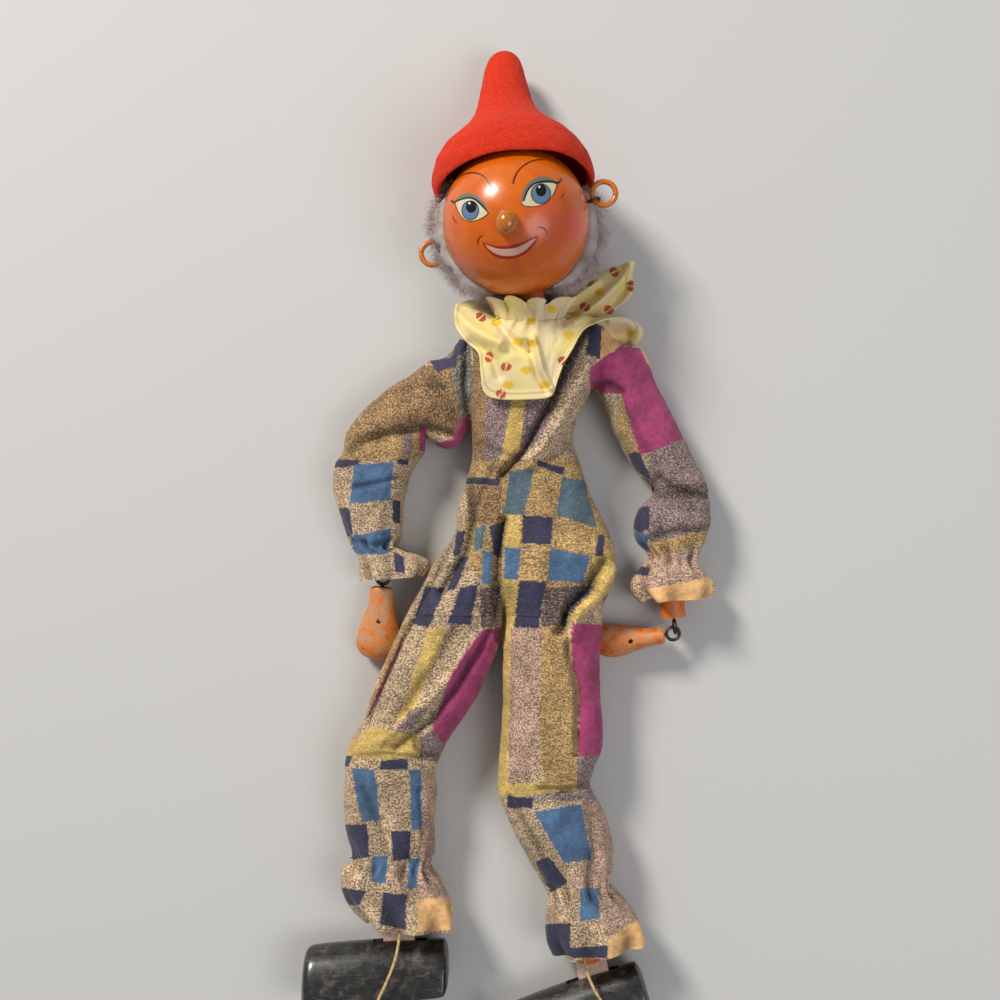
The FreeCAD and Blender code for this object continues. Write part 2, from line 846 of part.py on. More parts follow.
def head_pieces():
    neck_eye, ears = head_screw_eyes()
    peg = neck_dowel(neck_eye)
    pieces = {"head_ball": head_ball(ears), "nose_bead": nose_bead(), "neck_dowel": peg,
              "head_screw_eyes": Part.makeCompound([neck_eye] + ears), "hair": hair(ears),
              "hat": hat(), "neck_link": neck_link()}
    for side in sides:
        pieces["ear_ring_" + side] = ear_ring(side)
    return pieces


def trunk_pieces():
    chest_eyes = chest_screw_eyes()
    pelvis_eyes = pelvis_screw_eyes()
    return {"chest_block": chest_block(chest_eyes),
            "chest_screw_eyes": Part.makeCompound(chest_eyes),
            "pelvis_block": pelvis_block(pelvis_eyes),
            "pelvis_screw_eyes": Part.makeCompound(pelvis_eyes),
            "suit_chest": suit_chest(), "suit_hips": suit_hips(), "collar": collar()}


def arm_pieces(side):
    shoulder, swing, elbow, wrist = arm_points(side)
    upper_along = flat_direction(upper_arm_turn[side])
    fore_along = flat_direction(forearm_turn[side])
    upper_arm, upper_eyes = limb(swing, elbow, arm_radius, across(upper_along),
                                 across(upper_along))
    forearm, fore_eyes = limb(elbow, wrist, arm_radius, UP, across(fore_along))
    club, club_eye = hand(side)
    upper, lower, cuff = sleeve(side)
    pieces = {"shoulder_link": link_ring(shoulder, upper_along), "upper_arm": upper_arm,
              "upper_arm_eyes": Part.makeCompound(upper_eyes), "forearm": forearm,
              "forearm_eyes": Part.makeCompound(fore_eyes), "hand": club,
              "hand_eye": club_eye, "sleeve_upper": upper, "sleeve_lower": lower,
              "sleeve_cuff": cuff}
    return {name + "_" + side: piece for name, piece in pieces.items()}


def leg_pieces(side):
    hip, swing, knee, ankle = leg_points(side)
    along = flat_direction(thigh_turn[side])
    thigh, thigh_eyes = limb(swing, knee, thigh_radius, across(along), across(along))
    strip = tongue(side)
    shin_wood, knee_eye = shin(side, strip)
    upper, lower, cuff = trouser(side)
    pieces = {"hip_link": link_ring(hip, along), "thigh": thigh,
              "thigh_eyes": Part.makeCompound(thigh_eyes), "shin": shin_wood,
              "knee_eye": knee_eye, "ankle_tongue": strip, "ankle_pin": ankle_pin(side),
              "shoe": shoe(side), "foot_twine": twine(side), "trouser_thigh": upper,
              "trouser_shin": lower, "trouser_cuff": cuff}
    return {name + "_" + side: piece for name, piece in pieces.items()}


def all_pieces():
    pieces = head_pieces()
    pieces.update(trunk_pieces())
    for side in sides:
        pieces.update(arm_pieces(side))
        pieces.update(leg_pieces(side))
    for piece in pieces.values():
        piece.translate(frame_shift)
    return pieces


def main():
    os.makedirs("parts", exist_ok=True)
    for name, piece in all_pieces().items():
        piece.exportStep(os.path.join("parts", name + ".step"))


main()
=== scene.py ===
import bpy
import bmesh
import json
import math
import random
from mathutils import Matrix, Vector, noise
from mathutils.bvhtree import BVHTree
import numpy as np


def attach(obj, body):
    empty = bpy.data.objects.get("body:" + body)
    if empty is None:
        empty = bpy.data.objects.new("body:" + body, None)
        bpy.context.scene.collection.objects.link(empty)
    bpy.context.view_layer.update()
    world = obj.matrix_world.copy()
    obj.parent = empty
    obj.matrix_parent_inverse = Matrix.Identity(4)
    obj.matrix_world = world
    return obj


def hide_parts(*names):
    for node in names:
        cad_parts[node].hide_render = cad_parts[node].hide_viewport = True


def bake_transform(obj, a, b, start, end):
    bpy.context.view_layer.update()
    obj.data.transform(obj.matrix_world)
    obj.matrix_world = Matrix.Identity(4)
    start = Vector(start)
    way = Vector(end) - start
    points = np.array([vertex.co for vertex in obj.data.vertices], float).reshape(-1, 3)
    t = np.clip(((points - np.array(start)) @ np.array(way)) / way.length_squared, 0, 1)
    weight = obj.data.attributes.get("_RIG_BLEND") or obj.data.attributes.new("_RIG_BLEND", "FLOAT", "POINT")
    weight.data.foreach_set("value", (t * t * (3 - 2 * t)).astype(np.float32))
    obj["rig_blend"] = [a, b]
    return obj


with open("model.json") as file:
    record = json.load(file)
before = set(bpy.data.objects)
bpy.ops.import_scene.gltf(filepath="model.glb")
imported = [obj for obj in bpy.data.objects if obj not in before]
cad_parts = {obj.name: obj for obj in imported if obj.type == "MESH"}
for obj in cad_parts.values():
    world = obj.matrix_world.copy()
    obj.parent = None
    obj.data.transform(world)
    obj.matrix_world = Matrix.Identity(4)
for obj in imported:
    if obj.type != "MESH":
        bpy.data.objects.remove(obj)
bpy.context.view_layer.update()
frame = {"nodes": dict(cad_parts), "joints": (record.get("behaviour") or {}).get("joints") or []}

mm = 0.001
upward = Vector((0, 0, 1))
random.seed(7)
# without this the vector noise starts from the clock, and the print's edge differs each run
noise.seed_set(7)

jointSpots = {j["name"]: Vector(j["pos_m"]) for j in frame["joints"]}
sideNames = ("left", "right")


# small helpers for meshes

def finishMesh(bm, name, smooth=True):
    name = name.replace(" ", "_").lower()
    mesh = bpy.data.meshes.new(name)
    bm.to_mesh(mesh)
    bm.free()
    for face in mesh.polygons:
        face.use_smooth = smooth
    piece = bpy.data.objects.new(name, mesh)
    bpy.context.scene.collection.objects.link(piece)
    return piece


def dress(piece, paint, body=None, nodes=()):
    # its look, the solids it stands for, its material slot and the body it rides on
    piece.data.materials.clear()
    piece.data.materials.append(paint)
    if nodes:
        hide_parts(*nodes)
    if body:
        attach(piece, body)


def addFinish(piece, kind, **values):
    extra = piece.modifiers.new(kind.title(), kind)
    for key, value in values.items():
        setattr(extra, key, value)


def flatDirection(turn):
    return Vector((math.cos(math.radians(turn)), math.sin(math.radians(turn)), 0))


def across(along):
    return along.cross(upward).normalized()


def standing(middle, axis):
    # a matrix that puts local Z on the axis
    return Matrix.Translation(middle) @ axis.to_track_quat("Z", "Y").to_matrix().to_4x4()


# small helpers for materials

def tone(red, green, blue):
    # a colour as seen on a screen, 0 to 255, as the shader's linear values
    out = []
    for value in (red, green, blue):
        share = value / 255
        out.append(share / 12.92 if share < 0.04045 else ((share + 0.055) / 1.055) ** 2.4)
    return (*out, 1.0)


class Finish:
    # one material, its nodes added by short calls
    def __init__(self, name, roughness=0.5, **sockets):
        self.material = bpy.data.materials.new(name)
        self.material.use_nodes = True
        self.tree = self.material.node_tree
        self.shader = self.tree.nodes["Principled BSDF"]
        self.shader.inputs["Roughness"].default_value = roughness
        for key, value in sockets.items():
            self.shader.inputs[key.replace("_", " ")].default_value = value
        self.coords = self.tree.nodes.new("ShaderNodeTexCoord").outputs["Object"]

    def wire(self, source, target):
        if hasattr(source, "is_output"):
            self.tree.links.new(source, target)
        else:
            target.default_value = source

    def add(self, kind, out=0, **inputs):
        made = self.tree.nodes.new("ShaderNode" + kind)
        for key, value in inputs.items():
            if key[:2] == "in" and key[2:].isdigit():
                self.wire(value, made.inputs[int(key[2:])])
            elif hasattr(made, key):
                setattr(made, key, value)
            else:
                self.wire(value, made.inputs[key.replace("_", " ")])
        return made.outputs[out]

    def noise(self, scale, detail, rough, vector=None):
        return self.add("TexNoise", Vector=vector or self.coords, Scale=scale, Detail=detail,
                        Roughness=rough)

    def spots(self, scale):
        return self.add("TexVoronoi", Vector=self.coords, Scale=scale)

    def sum(self, kind, first, second):
        return self.add("Math", operation=kind, in0=first, in1=second)

    def ramp(self, source, *stops):
        # stops are (place, colour or value)
        made = self.tree.nodes.new("ShaderNodeValToRGB")
        self.wire(source, made.inputs[0])
        while len(made.color_ramp.elements) < len(stops):
            made.color_ramp.elements.new(0.5)
        for element, (place, shade) in zip(made.color_ramp.elements, stops):
            element.position = place
            element.color = shade if hasattr(shade, "__len__") else (shade, shade, shade, 1)
        return made.outputs[0]

    def blend(self, share, first, second, kind="MIX"):
        made = self.tree.nodes.new("ShaderNodeMix")
        made.data_type = "RGBA"
        made.blend_type = kind
        self.wire(share, made.inputs[0])
        self.wire(first, made.inputs[6])
        self.wire(second, made.inputs[7])
        return made.outputs[2]

    def stretch(self, scale):
        return self.add("Mapping", Vector=self.coords, Scale=scale)

    def near(self, middle, radius, soft):
        # 1 inside a soft ball about a point, 0 outside
        moved = self.add("VectorMath", operation="SUBTRACT", in0=self.coords, in1=tuple(middle))
        reach = self.add("VectorMath", 1, operation="LENGTH", in0=moved)
        return self.add("MapRange", Value=reach, From_Min=radius + soft, From_Max=radius - soft,
                        interpolation_type="SMOOTHSTEP")

    def colour(self, source):
        self.wire(source, self.shader.inputs["Base Color"])

    def rough(self, source):
        self.wire(source, self.shader.inputs["Roughness"])

    def bump(self, source, height, strength):
        made = self.tree.nodes.new("ShaderNodeBump")
        made.inputs["Strength"].default_value = strength
        made.inputs["Distance"].default_value = height
        self.wire(source, made.inputs["Height"])
        self.tree.links.new(made.outputs[0], self.shader.inputs["Normal"])


# where the photograph was taken from, its middle and its pixels for a metre at a metre's distance

camera = Vector((-0.002787, 0.019041, 0.400))
photoMiddle = 500
photoScale = 1212

headCentre = Vector((0.002113, 0.104641, 0.027))
headRadius = 0.0225
# points closer than this are one point
weld = 0.000002


def mapped(columns, rows, placing):
    # a grid whose corner-to-corner shares (u, v) are placed by a function
    bm = bmesh.new()
    bm.loops.layers.uv.verify()
    bmesh.ops.create_grid(bm, x_segments=columns, y_segments=rows, size=0.5, calc_uvs=True)
    for vertex in bm.verts:
        vertex.co = placing(vertex.co.x + 0.5, vertex.co.y + 0.5)
    bmesh.ops.remove_doubles(bm, verts=bm.verts, dist=weld)
    return bm


def fineness(full):
    # how many rows a mesh gets
    return full


def outwards(bm, middle):
    bmesh.ops.recalc_face_normals(bm, faces=bm.faces)
    total = sum(f.normal.dot(f.calc_center_median() - middle) for f in bm.faces)
    if total < 0:
        bmesh.ops.reverse_faces(bm, faces=bm.faces)
    return bm


def smoothPath(points, share):
    # a Catmull-Rom curve through points of any size, share from 0 to 1
    reach = share * (len(points) - 1)
    index = min(int(reach), len(points) - 2)
    t = reach - index
    before = points[max(index - 1, 0)]
    first = points[index]
    second = points[index + 1]
    after = points[min(index + 2, len(points) - 1)]
    out = []
    for a, b, c, d in zip(before, first, second, after):
        out.append(0.5 * (2 * b + (c - a) * t + (2 * a - 5 * b + 4 * c - d) * t * t
                          + (3 * b - a - 3 * c + d) * t ** 3))
    return out


def sightLine(px, py):
    # from the camera through a point of the photograph
    aside = (px - photoMiddle) / photoScale
    up = (photoMiddle - py) / photoScale
    return Vector((aside, up, -1)).normalized()


def onBall(px, py, lift=0.0):
    # where that line meets the ball of the head, or a coat of paint on it
    away = sightLine(px, py)
    offset = camera - headCentre
    half = offset.dot(away)
    inside = half * half - offset.length_squared + (headRadius + lift) ** 2
    return camera + away * (-half - math.sqrt(max(inside, 0)))


def photoPoint(place):
    # where a point of the frame shows in the photograph
    ahead = camera.z - place.z
    aside = photoScale * (place.x - camera.x) / ahead
    up = photoScale * (place.y - camera.y) / ahead
    return photoMiddle + aside, photoMiddle - up


def atHeight(px, py, height):
    away = sightLine(px, py)
    return camera + away * ((height - camera.z) / away.z)


# Head: a painted ball

# rouge on the cheeks, a painted highlight on the brow and painted shade at the chin: place in the
# photograph, radius and softness, share and colour
rougeAndPaintedLight = [((556, 222), 0.006, 0.005, 0.75, (208, 84, 58)),
             ((577, 226), 0.003, 0.0028, 0.85, (226, 70, 72)),
             ((452, 250), 0.0025, 0.006, 0.6, (196, 50, 10)),
             # painted highlight: a lighter patch on the forehead
             ((505, 182), 0.003, 0.009, 0.35, (232, 130, 30)),
             # painted shade: a darker patch low on the left, by the chin
             ((470, 285), 0.006, 0.012, 0.55, (150, 62, 8))]


def ballPaint():
    made = Finish("Orange paint on the ball with painted light and shade", 0.34, Coat_Weight=0.16, Coat_Roughness=0.2)
    streaks = made.noise(220, 5, 0.65)
    worn = made.ramp(streaks, (0.3, tone(200, 86, 2)), (0.7, tone(216, 102, 8)))
    for (px, py), radius, soft, share, tint in rougeAndPaintedLight:
        near = made.near(onBall(px, py), radius, soft)
        # the cheek rouge, the painted highlight and the painted shade blended into the paint
        worn = made.blend(made.sum("MULTIPLY", near, share), worn, tone(*tint))
    grain = made.spots(900)
    marks = made.ramp(made.noise(1500, 3, 0.7), (0.62, 0.0), (0.78, 1.0))
    worn = made.blend(made.sum("MULTIPLY", marks, 0.16), worn, tone(120, 58, 20))
    made.colour(worn)
    made.rough(made.ramp(streaks, (0.2, 0.2), (0.8, 0.34)))
    made.bump(made.sum("ADD", made.noise(500, 4, 0.6), made.sum("MULTIPLY", grain, 0.15)),
              0.00012, 0.35)
    return made.material


def headBall():
    bm = bmesh.new()
    # its poles lie under the hat and by the neck
    poles = standing(headCentre, Vector((-0.21, 0.93, 0.3)))
    bmesh.ops.create_uvsphere(bm, u_segments=128, v_segments=96, radius=headRadius, matrix=poles)
    dress(finishMesh(bm, "Ball of the head"), ballPaint(), "head", ("head_ball",))


# Face: painted on the ball

facePaints = {}


def facePaint(name, shade, rough=0.35, mottle=0.12):
    if name not in facePaints:
        made = Finish("Face paint " + name, rough)
        uneven = made.noise(1400, 4, 0.7)
        dark = [channel * (1 - mottle * 2) for channel in shade[:3]] + [1]
        made.colour(made.blend(uneven, dark, shade))
        facePaints[name] = made.material
    return facePaints[name]


def patch(name, outline, lift, paint, middle=None, rings=8):
    # a filled spot of paint: its rim runs through the outline, round its middle
    rim = list(outline) + [outline[0]]
    if middle is None:
        middle = (sum(p[0] for p in outline) / len(outline),
                  sum(p[1] for p in outline) / len(outline))

    def placing(u, v):
        px, py = smoothPath(rim, u)
        return onBall(middle[0] + (px - middle[0]) * v, middle[1] + (py - middle[1]) * v, lift)

    bm = outwards(mapped(len(outline) * 5, rings, placing), headCentre)
    dress(finishMesh(bm, name), paint, "head")


def roundPatch(name, middle, wide, tall, lift, paint, rings=8):
    outline = []
    for step in range(16):
        angle = math.radians(step * 22.5)
        outline.append((middle[0] + wide * math.cos(angle), middle[1] + tall * math.sin(angle)))
    patch(name, outline, lift, paint, middle, rings)


def stroke(name, path, widths, lift, paint):
    # a brush stroke of changing width, in pixels of the photograph
    def placing(u, v):
        px, py = smoothPath(path, u)
        ax, ay = smoothPath(path, max(u - 0.02, 0))
        bx, by = smoothPath(path, min(u + 0.02, 1))
        length = math.hypot(bx - ax, by - ay) or 1
        width = smoothPath([(w,) for w in widths], u)[0] * (v - 0.5)
        width *= 1 + 0.12 * noise.noise(Vector((px * 0.6, py * 0.6, 3)))
        return onBall(px - (by - ay) / length * width, py + (bx - ax) / length * width, lift)

    bm = outwards(mapped(len(path) * 6, 2, placing), headCentre)
    dress(finishMesh(bm, name), paint, "head")


# the eyes in pixels of the photograph: each outline starts at the eye's left corner, over the top
eyeShapes = {
    "left": {
        "outline": [(454.7, 201.8), (458.4, 196.6), (463.6, 193.9), (469.6, 193.3),
                    (475.5, 194.8), (481.2, 199.0), (485.5, 205.1), (488.5, 213.1),
                    (484.2, 216.6), (479.3, 219.1), (474.5, 220.8), (469.0, 220.9),
                    (464.5, 219.4), (460.4, 215.1), (456.7, 208.5)],
        "lid": [(454.7, 201.8), (458.4, 196.6), (463.6, 193.9), (469.6, 193.3), (475.5, 194.8),
                (481.2, 199.0), (485.5, 205.1), (488.5, 213.1), (481.8, 204.9), (476.1, 199.9),
                (469.6, 197.7), (462.5, 198.8)],
        "lidMiddle": (470.5, 196.0),
        "lash": [(451.3, 200.1), (453.0, 202.3), (456.0, 201.2), (462.5, 198.8), (469.6, 197.7),
                 (476.1, 199.9), (481.8, 204.9), (488.3, 212.9)],
        "lashWidths": [1.8, 1.9, 1.5, 1.3, 1.5, 1.7, 1.6, 1.0],
        "iris": (470.3, 210.3), "irisSize": (8.9, 9.9), "pupil": (471.2, 206.6)},
    "right": {
        "outline": [(521.3, 202.6), (521.9, 195.5), (525.2, 187.4), (530.6, 181.1),
                    (537.3, 177.6), (544.1, 176.6), (550.6, 178.0), (557.1, 182.3),
                    (556.4, 186.9), (553.8, 193.4), (549.5, 199.3), (544.1, 203.7),
                    (538.4, 205.7), (530.8, 206.5), (524.1, 205.6)],
        "lid": [(521.3, 202.6), (521.9, 195.5), (525.2, 187.4), (530.6, 181.1), (537.3, 177.6),
                (544.1, 176.6), (550.6, 178.0), (557.1, 182.3), (551.4, 181.4), (544.9, 181.1),
                (538.4, 182.1), (533.0, 184.5), (527.6, 190.3), (524.5, 199.0)],
        "lidMiddle": (531.5, 183.4),
        "lash": [(523.5, 201.0), (527.6, 190.3), (533.0, 184.5), (538.4, 182.1), (544.9, 181.1),
                 (551.4, 181.4), (556.3, 182.7), (559.0, 182.0), (561.8, 178.0)],
        "lashWidths": [1.1, 1.5, 1.5, 1.3, 1.4, 1.6, 1.9, 1.6, 0.8],
        "iris": (540.9, 193.6), "irisSize": (10.2, 10.4), "pupil": (541.1, 190.2)}}
# half sizes in pixels, and how far the light in the eye sits from the pupil's middle
pupilSize = (5.3, 6.2)
eyeLightSize = (1.1, 1.3)
eyeLightShift = (-1.8, -3.4)
irisRim = 1.1
lowerLidWidths = [0.9, 0.6, 0.6, 0.6, 0.9]
# how far each coat of paint stands off the ball, in metres, so that none shows through
coats = {"white": 0.00003, "lips": 0.00004, "lid": 0.00005, "line": 0.00006, "rim": 0.00007,
         "iris": 0.00008, "pupil": 0.0001, "lowerLid": 0.00011, "light": 0.00012,
         "lash": 0.00013}


def eyes():
    cream = facePaint("cream", tone(226, 208, 168))
    lid = facePaint("grey lid", tone(112, 112, 104))
    iris = facePaint("blue grey", tone(96, 126, 158))
    rim = facePaint("dark blue grey", tone(56, 74, 98))
    black = facePaint("black", tone(16, 13, 12), 0.25, 0.05)
    white = facePaint("white", tone(236, 232, 220))
    brown = facePaint("brown outline", tone(70, 36, 18))
    for side, shape in eyeShapes.items():
        outline = shape["outline"]
        wide, tall = shape["irisSize"]
        pupil = shape["pupil"]
        light = (pupil[0] + eyeLightShift[0], pupil[1] + eyeLightShift[1])
        patch("Eye white " + side, outline, coats["white"], cream)
        patch("Eyelid " + side, shape["lid"], coats["lid"], lid, shape["lidMiddle"])
        roundPatch("Iris rim " + side, shape["iris"], wide, tall, coats["rim"], rim)
        roundPatch("Iris " + side, shape["iris"], wide - irisRim, tall - irisRim,
                   coats["iris"], iris)
        roundPatch("Pupil " + side, pupil, *pupilSize, coats["pupil"], black)
        roundPatch("Eye light " + side, light, *eyeLightSize, coats["light"], white, 3)
        stroke("Lash " + side, shape["lash"], shape["lashWidths"], coats["lash"], black)
        stroke("Lower lid " + side, outline[7:] + outline[:1], lowerLidWidths,
               coats["lowerLid"], brown)


# brown brush strokes: the points they run through and their widths, in pixels
brownStrokes = {
    "Brow left": ([(456.3, 179.9), (461.4, 175.5), (467.9, 173.1), (475.5, 172.8),
                   (481.8, 174.9), (486.4, 179.3), (489.8, 184.9), (494.2, 188.7)],
                  [0.5, 1.1, 1.4, 1.5, 1.5, 1.3, 1.1, 0.4]),
    "Brow right": ([(513.3, 183.8), (514.3, 178.4), (516.7, 173.0), (521.1, 167.6),
                    (526.5, 163.6), (533.0, 160.7), (539.5, 159.5), (545.1, 160.0)],
                   [1.8, 2.0, 1.7, 1.5, 1.4, 1.3, 1.0, 0.4]),
    "Laugh line left": ([(452.2, 214.8), (453.9, 219.9), (457.1, 223.9)], [0.3, 1.0, 0.3]),
    "Laugh line right": ([(564.4, 191.0), (563.0, 195.3), (560.1, 198.4)], [0.3, 1.0, 0.3]),
    "Dimple right": ([(536.8, 227.4), (541.7, 227.3), (545.1, 229.7), (547.0, 234.2)],
                     [0.4, 1.2, 1.2, 0.4]),
    "Dimple left": ([(483.3, 235.4), (479.5, 237.6), (477.7, 241.9), (479.0, 245.6)],
                    [0.4, 1.2, 1.2, 0.4])}
mouthShape = {
    "lips": [(482.4, 241.9), (490.7, 245.0), (499.4, 246.1), (508.1, 245.7), (516.7, 244.1),
             (525.4, 240.9), (531.9, 237.4), (538.4, 235.4), (536.9, 240.6), (533.0, 246.5),
             (527.6, 251.9), (522.2, 255.7), (515.7, 258.0), (508.1, 258.9), (499.4, 258.2),
             (492.9, 255.4), (487.5, 250.3), (483.8, 245.8)],
    "lipsMiddle": (508.5, 252.0),
    "teeth": [(484.9, 244.3), (495.1, 248.1), (505.9, 249.0), (515.7, 247.7), (525.4, 243.9),
              (535.2, 238.3), (531.9, 243.5), (526.5, 249.3), (520.0, 253.5), (513.5, 255.7),
              (505.9, 256.1), (498.3, 254.7), (491.8, 251.5), (487.0, 247.1)],
    "teethMiddle": (508.5, 252.6), "rings": 10}


def browsAndMouth():
    brown = facePaint("brow brown", tone(88, 38, 12), 0.4)
    red = facePaint("lip red", tone(178, 30, 20), 0.3)
    pink = facePaint("pale pink", tone(226, 176, 150), 0.3)
    for name, (path, widths) in brownStrokes.items():
        stroke(name, path, widths, coats["line"], brown)
    patch("Lips", mouthShape["lips"], coats["lips"], red, mouthShape["lipsMiddle"],
          mouthShape["rings"])
    patch("Mouth", mouthShape["teeth"], coats["line"], pink, mouthShape["teethMiddle"],
          mouthShape["rings"])


# the glued bead: which way it stands from the head's middle, how far, and its size
noseShape = {"toward": (-0.128, -0.225, 0.966), "reach": 0.0233, "radius": 0.0033,
             "turn": -8, "stretch": (0.98, 1.12, 1.0, 1.0)}


def nose():
    made = Finish("Worn gilt paint on the nose", 0.22, Coat_Weight=0.6, Coat_Roughness=0.06)
    rubbed = made.noise(700, 5, 0.7)
    made.colour(made.ramp(rubbed, (0.3, tone(168, 96, 14)), (0.55, tone(190, 104, 16)),
                          (0.72, tone(96, 50, 16))))
    made.bump(rubbed, 0.00012, 0.5)
    place = Matrix.Translation(headCentre + Vector(noseShape["toward"]) * noseShape["reach"])
    turn = Matrix.Rotation(math.radians(noseShape["turn"]), 4, "Z")
    stretch = Matrix.Diagonal(noseShape["stretch"])
    bm = bmesh.new()
    bmesh.ops.create_uvsphere(bm, u_segments=64, v_segments=48, radius=noseShape["radius"],
                              matrix=place @ turn @ stretch)
    dress(finishMesh(bm, "Nose"), made.material, "head", ("nose_bead",))


# Wire: screw eyes, rings and what hangs in them

def bentRing(centre, normal, radius, wire, start=0, sweep=360):
    side = normal.cross(Vector((0.31, 0.59, 0.74))).normalized()
    front = normal.cross(side).normalized()
    columns = 96
    rows = 20

    def placing(u, v):
        turn = math.radians(start + sweep * u)
        out = side * math.cos(turn) + front * math.sin(turn)
        lean = 2 * math.pi * v
        return centre + out * (radius + wire * math.cos(lean)) + normal * wire * math.sin(lean)

    bm = mapped(columns, rows, placing)
    if sweep < 360:
        bmesh.ops.holes_fill(bm, edges=[e for e in bm.edges if e.is_boundary], sides=rows + 2)
    bmesh.ops.recalc_face_normals(bm, faces=bm.faces)
    return bm


def addRod(bm, start, end, radius, segments=20):
    along = end - start
    bmesh.ops.create_cone(bm, cap_ends=True, segments=segments, radius1=radius, radius2=radius,
                          depth=along.length, matrix=standing((start + end) / 2, along))


steelPaints = {}


def steel():
    if "steel" not in steelPaints:
        made = Finish("Dark steel wire", 0.38, Metallic=0.85)
        rust = made.noise(2600, 4, 0.7)
        made.colour(made.ramp(rust, (0.35, tone(92, 84, 78)), (0.65, tone(60, 50, 44)),
                              (0.85, tone(96, 58, 34))))
        steelPaints["steel"] = made.material
    return steelPaints["steel"]


# the bare stem between the wood and the ring, and the stem's part in the wood
eyeStem = 0.0004
eyeRoot = 0.002


def screwEye(face, out, normal, radius=0.0021, wire=0.00055):
    # the ring closes on its own stem
    centre = face + out * (eyeStem + wire + radius)
    bm = bentRing(centre, normal, radius, wire)
    addRod(bm, face - out * eyeRoot, face + out * (eyeStem + wire * 1.4), wire * 0.96)
    return bm


def merged(name, parts):
    whole = bmesh.new()
    for part in parts:
        mesh = bpy.data.meshes.new("part")
        part.to_mesh(mesh)
        part.free()
        whole.from_mesh(mesh)
        bpy.data.meshes.remove(mesh)
    return finishMesh(whole, name)


# which way each ear's eye points and how high it sits, which way its ring hangs, and its gap
earShapes = {"left": {"turn": 195.0, "lift": -0.006, "hang": 240.0, "gap": 25.0},
             "right": {"turn": 15.0, "lift": 0.001, "hang": 50.0, "gap": 200.0}}
earEye = {"radius": 0.0016, "wire": 0.00045, "bearing": 0.0032}
earRing = {"radius": 0.0036, "wire": 0.00085, "drop": 0.00215, "sweep": 356}
# the way the neck leaves the head, and where its dowel starts and ends from the head's middle
neckOut = Vector((0.2130, -0.9304, -0.2974))
neckShape = {"start": 0.0165, "end": 0.0275, "radius": 0.004, "rounding": 0.0008}


def ears():
    made = Finish("Orange paint on the ear rings", 0.35, Coat_Weight=0.3)
    chips = made.noise(1800, 5, 0.7)
    made.colour(made.ramp(chips, (0.3, tone(150, 78, 22)), (0.5, tone(206, 112, 30)),
                          (0.7, tone(226, 132, 48))))
    made.bump(chips, 0.0001, 0.5)
    screws = []
    for side, shape in earShapes.items():
        out = flatDirection(shape["turn"])
        reach = math.sqrt(headRadius ** 2 - shape["lift"] ** 2)
        face = headCentre + out * reach + upward * shape["lift"]
        screws.append(screwEye(face, out, out.cross(upward), earEye["radius"], earEye["wire"]))
        pivot = face + out * (eyeStem + earEye["wire"] + earEye["bearing"])
        centre = pivot + flatDirection(shape["hang"]) * earRing["drop"]
        bm = bentRing(centre, upward, earRing["radius"], earRing["wire"], shape["gap"] + 2,
                      earRing["sweep"])
        dress(finishMesh(bm, "Ring at the ear " + side), made.material, "ear_ring_" + side,
              ("ear_ring_" + side,))
    neckSide = (-neckOut).cross(upward).normalized()
    screws.append(screwEye(headCentre + neckOut * neckShape["end"], neckOut, neckSide))
    dress(merged("Screw eyes of the head", screws), steel(), "head",
          ("head_screw_eyes",))


def neck():
    made = Finish("Worn pink paint on the neck", 0.5)
    worn = made.noise(600, 5, 0.7)
    made.colour(made.ramp(worn, (0.3, tone(150, 66, 24)), (0.5, tone(178, 86, 48)),
                          (0.72, tone(196, 112, 82))))
    made.bump(worn, 0.00015, 0.5)
    start = headCentre + neckOut * neckShape["start"]
    end = headCentre + neckOut * neckShape["end"]
    near = neckShape["radius"] + 0.0005
    bm = bmesh.new()
    addRod(bm, start, end, neckShape["radius"], segments=64)
    edge = [e for e in bm.edges if all((v.co - end).length < near for v in e.verts)]
    bmesh.ops.bevel(bm, geom=edge, offset=neckShape["rounding"], segments=4, affect="EDGES",
                    profile=0.5, material=-1)
    dress(finishMesh(bm, "Dowel of the neck"), made.material, "head",
          ("neck_dowel",))


# Hat: a felt cone, its brim turned under

def felt():
    made = Finish("Red felt", 0.95, Sheen_Weight=0.05, Sheen_Roughness=0.6)
    made.shader.inputs["Sheen Tint"].default_value = tone(255, 120, 60)
    matted = made.noise(900, 6, 0.7)
    patches = made.noise(120, 3, 0.5)
    shade = made.ramp(matted, (0.3, tone(186, 24, 0)), (0.55, tone(221, 48, 0)),
                      (0.8, tone(234, 74, 6)))
    made.colour(made.blend(made.sum("MULTIPLY", patches, 0.35), shade, tone(190, 18, 2)))
    hairs = made.noise(4200, 4, 0.75)
    made.bump(made.sum("ADD", made.sum("MULTIPLY", hairs, 0.6), matted), 0.0005, 0.7)
    return made.material


# how the hat sits on the ball, and its radius and height in mm from the edge of the turned brim
hatShape = {
    "place": (0, 0.0102, -0.003), "tilt": -108.6, "turn": 4.5, "wall": 0.0014, "depth": 0.9,
    "lean": 0.9, "height": 51,
    "outline": [(22.7, 3.4), (23.3, 0.9), (24.3, 0.1), (25.1, 1.7), (25.2, 5.0), (24.2, 9.4),
                (21.6, 13.6), (17.4, 18.0), (13.6, 22.3), (10.8, 26.6), (9.0, 31.2),
                (7.8, 36.4), (6.9, 41.2), (6.2, 45.0), (5.0, 48.4), (3.0, 50.5), (0.0, 51.2)]}


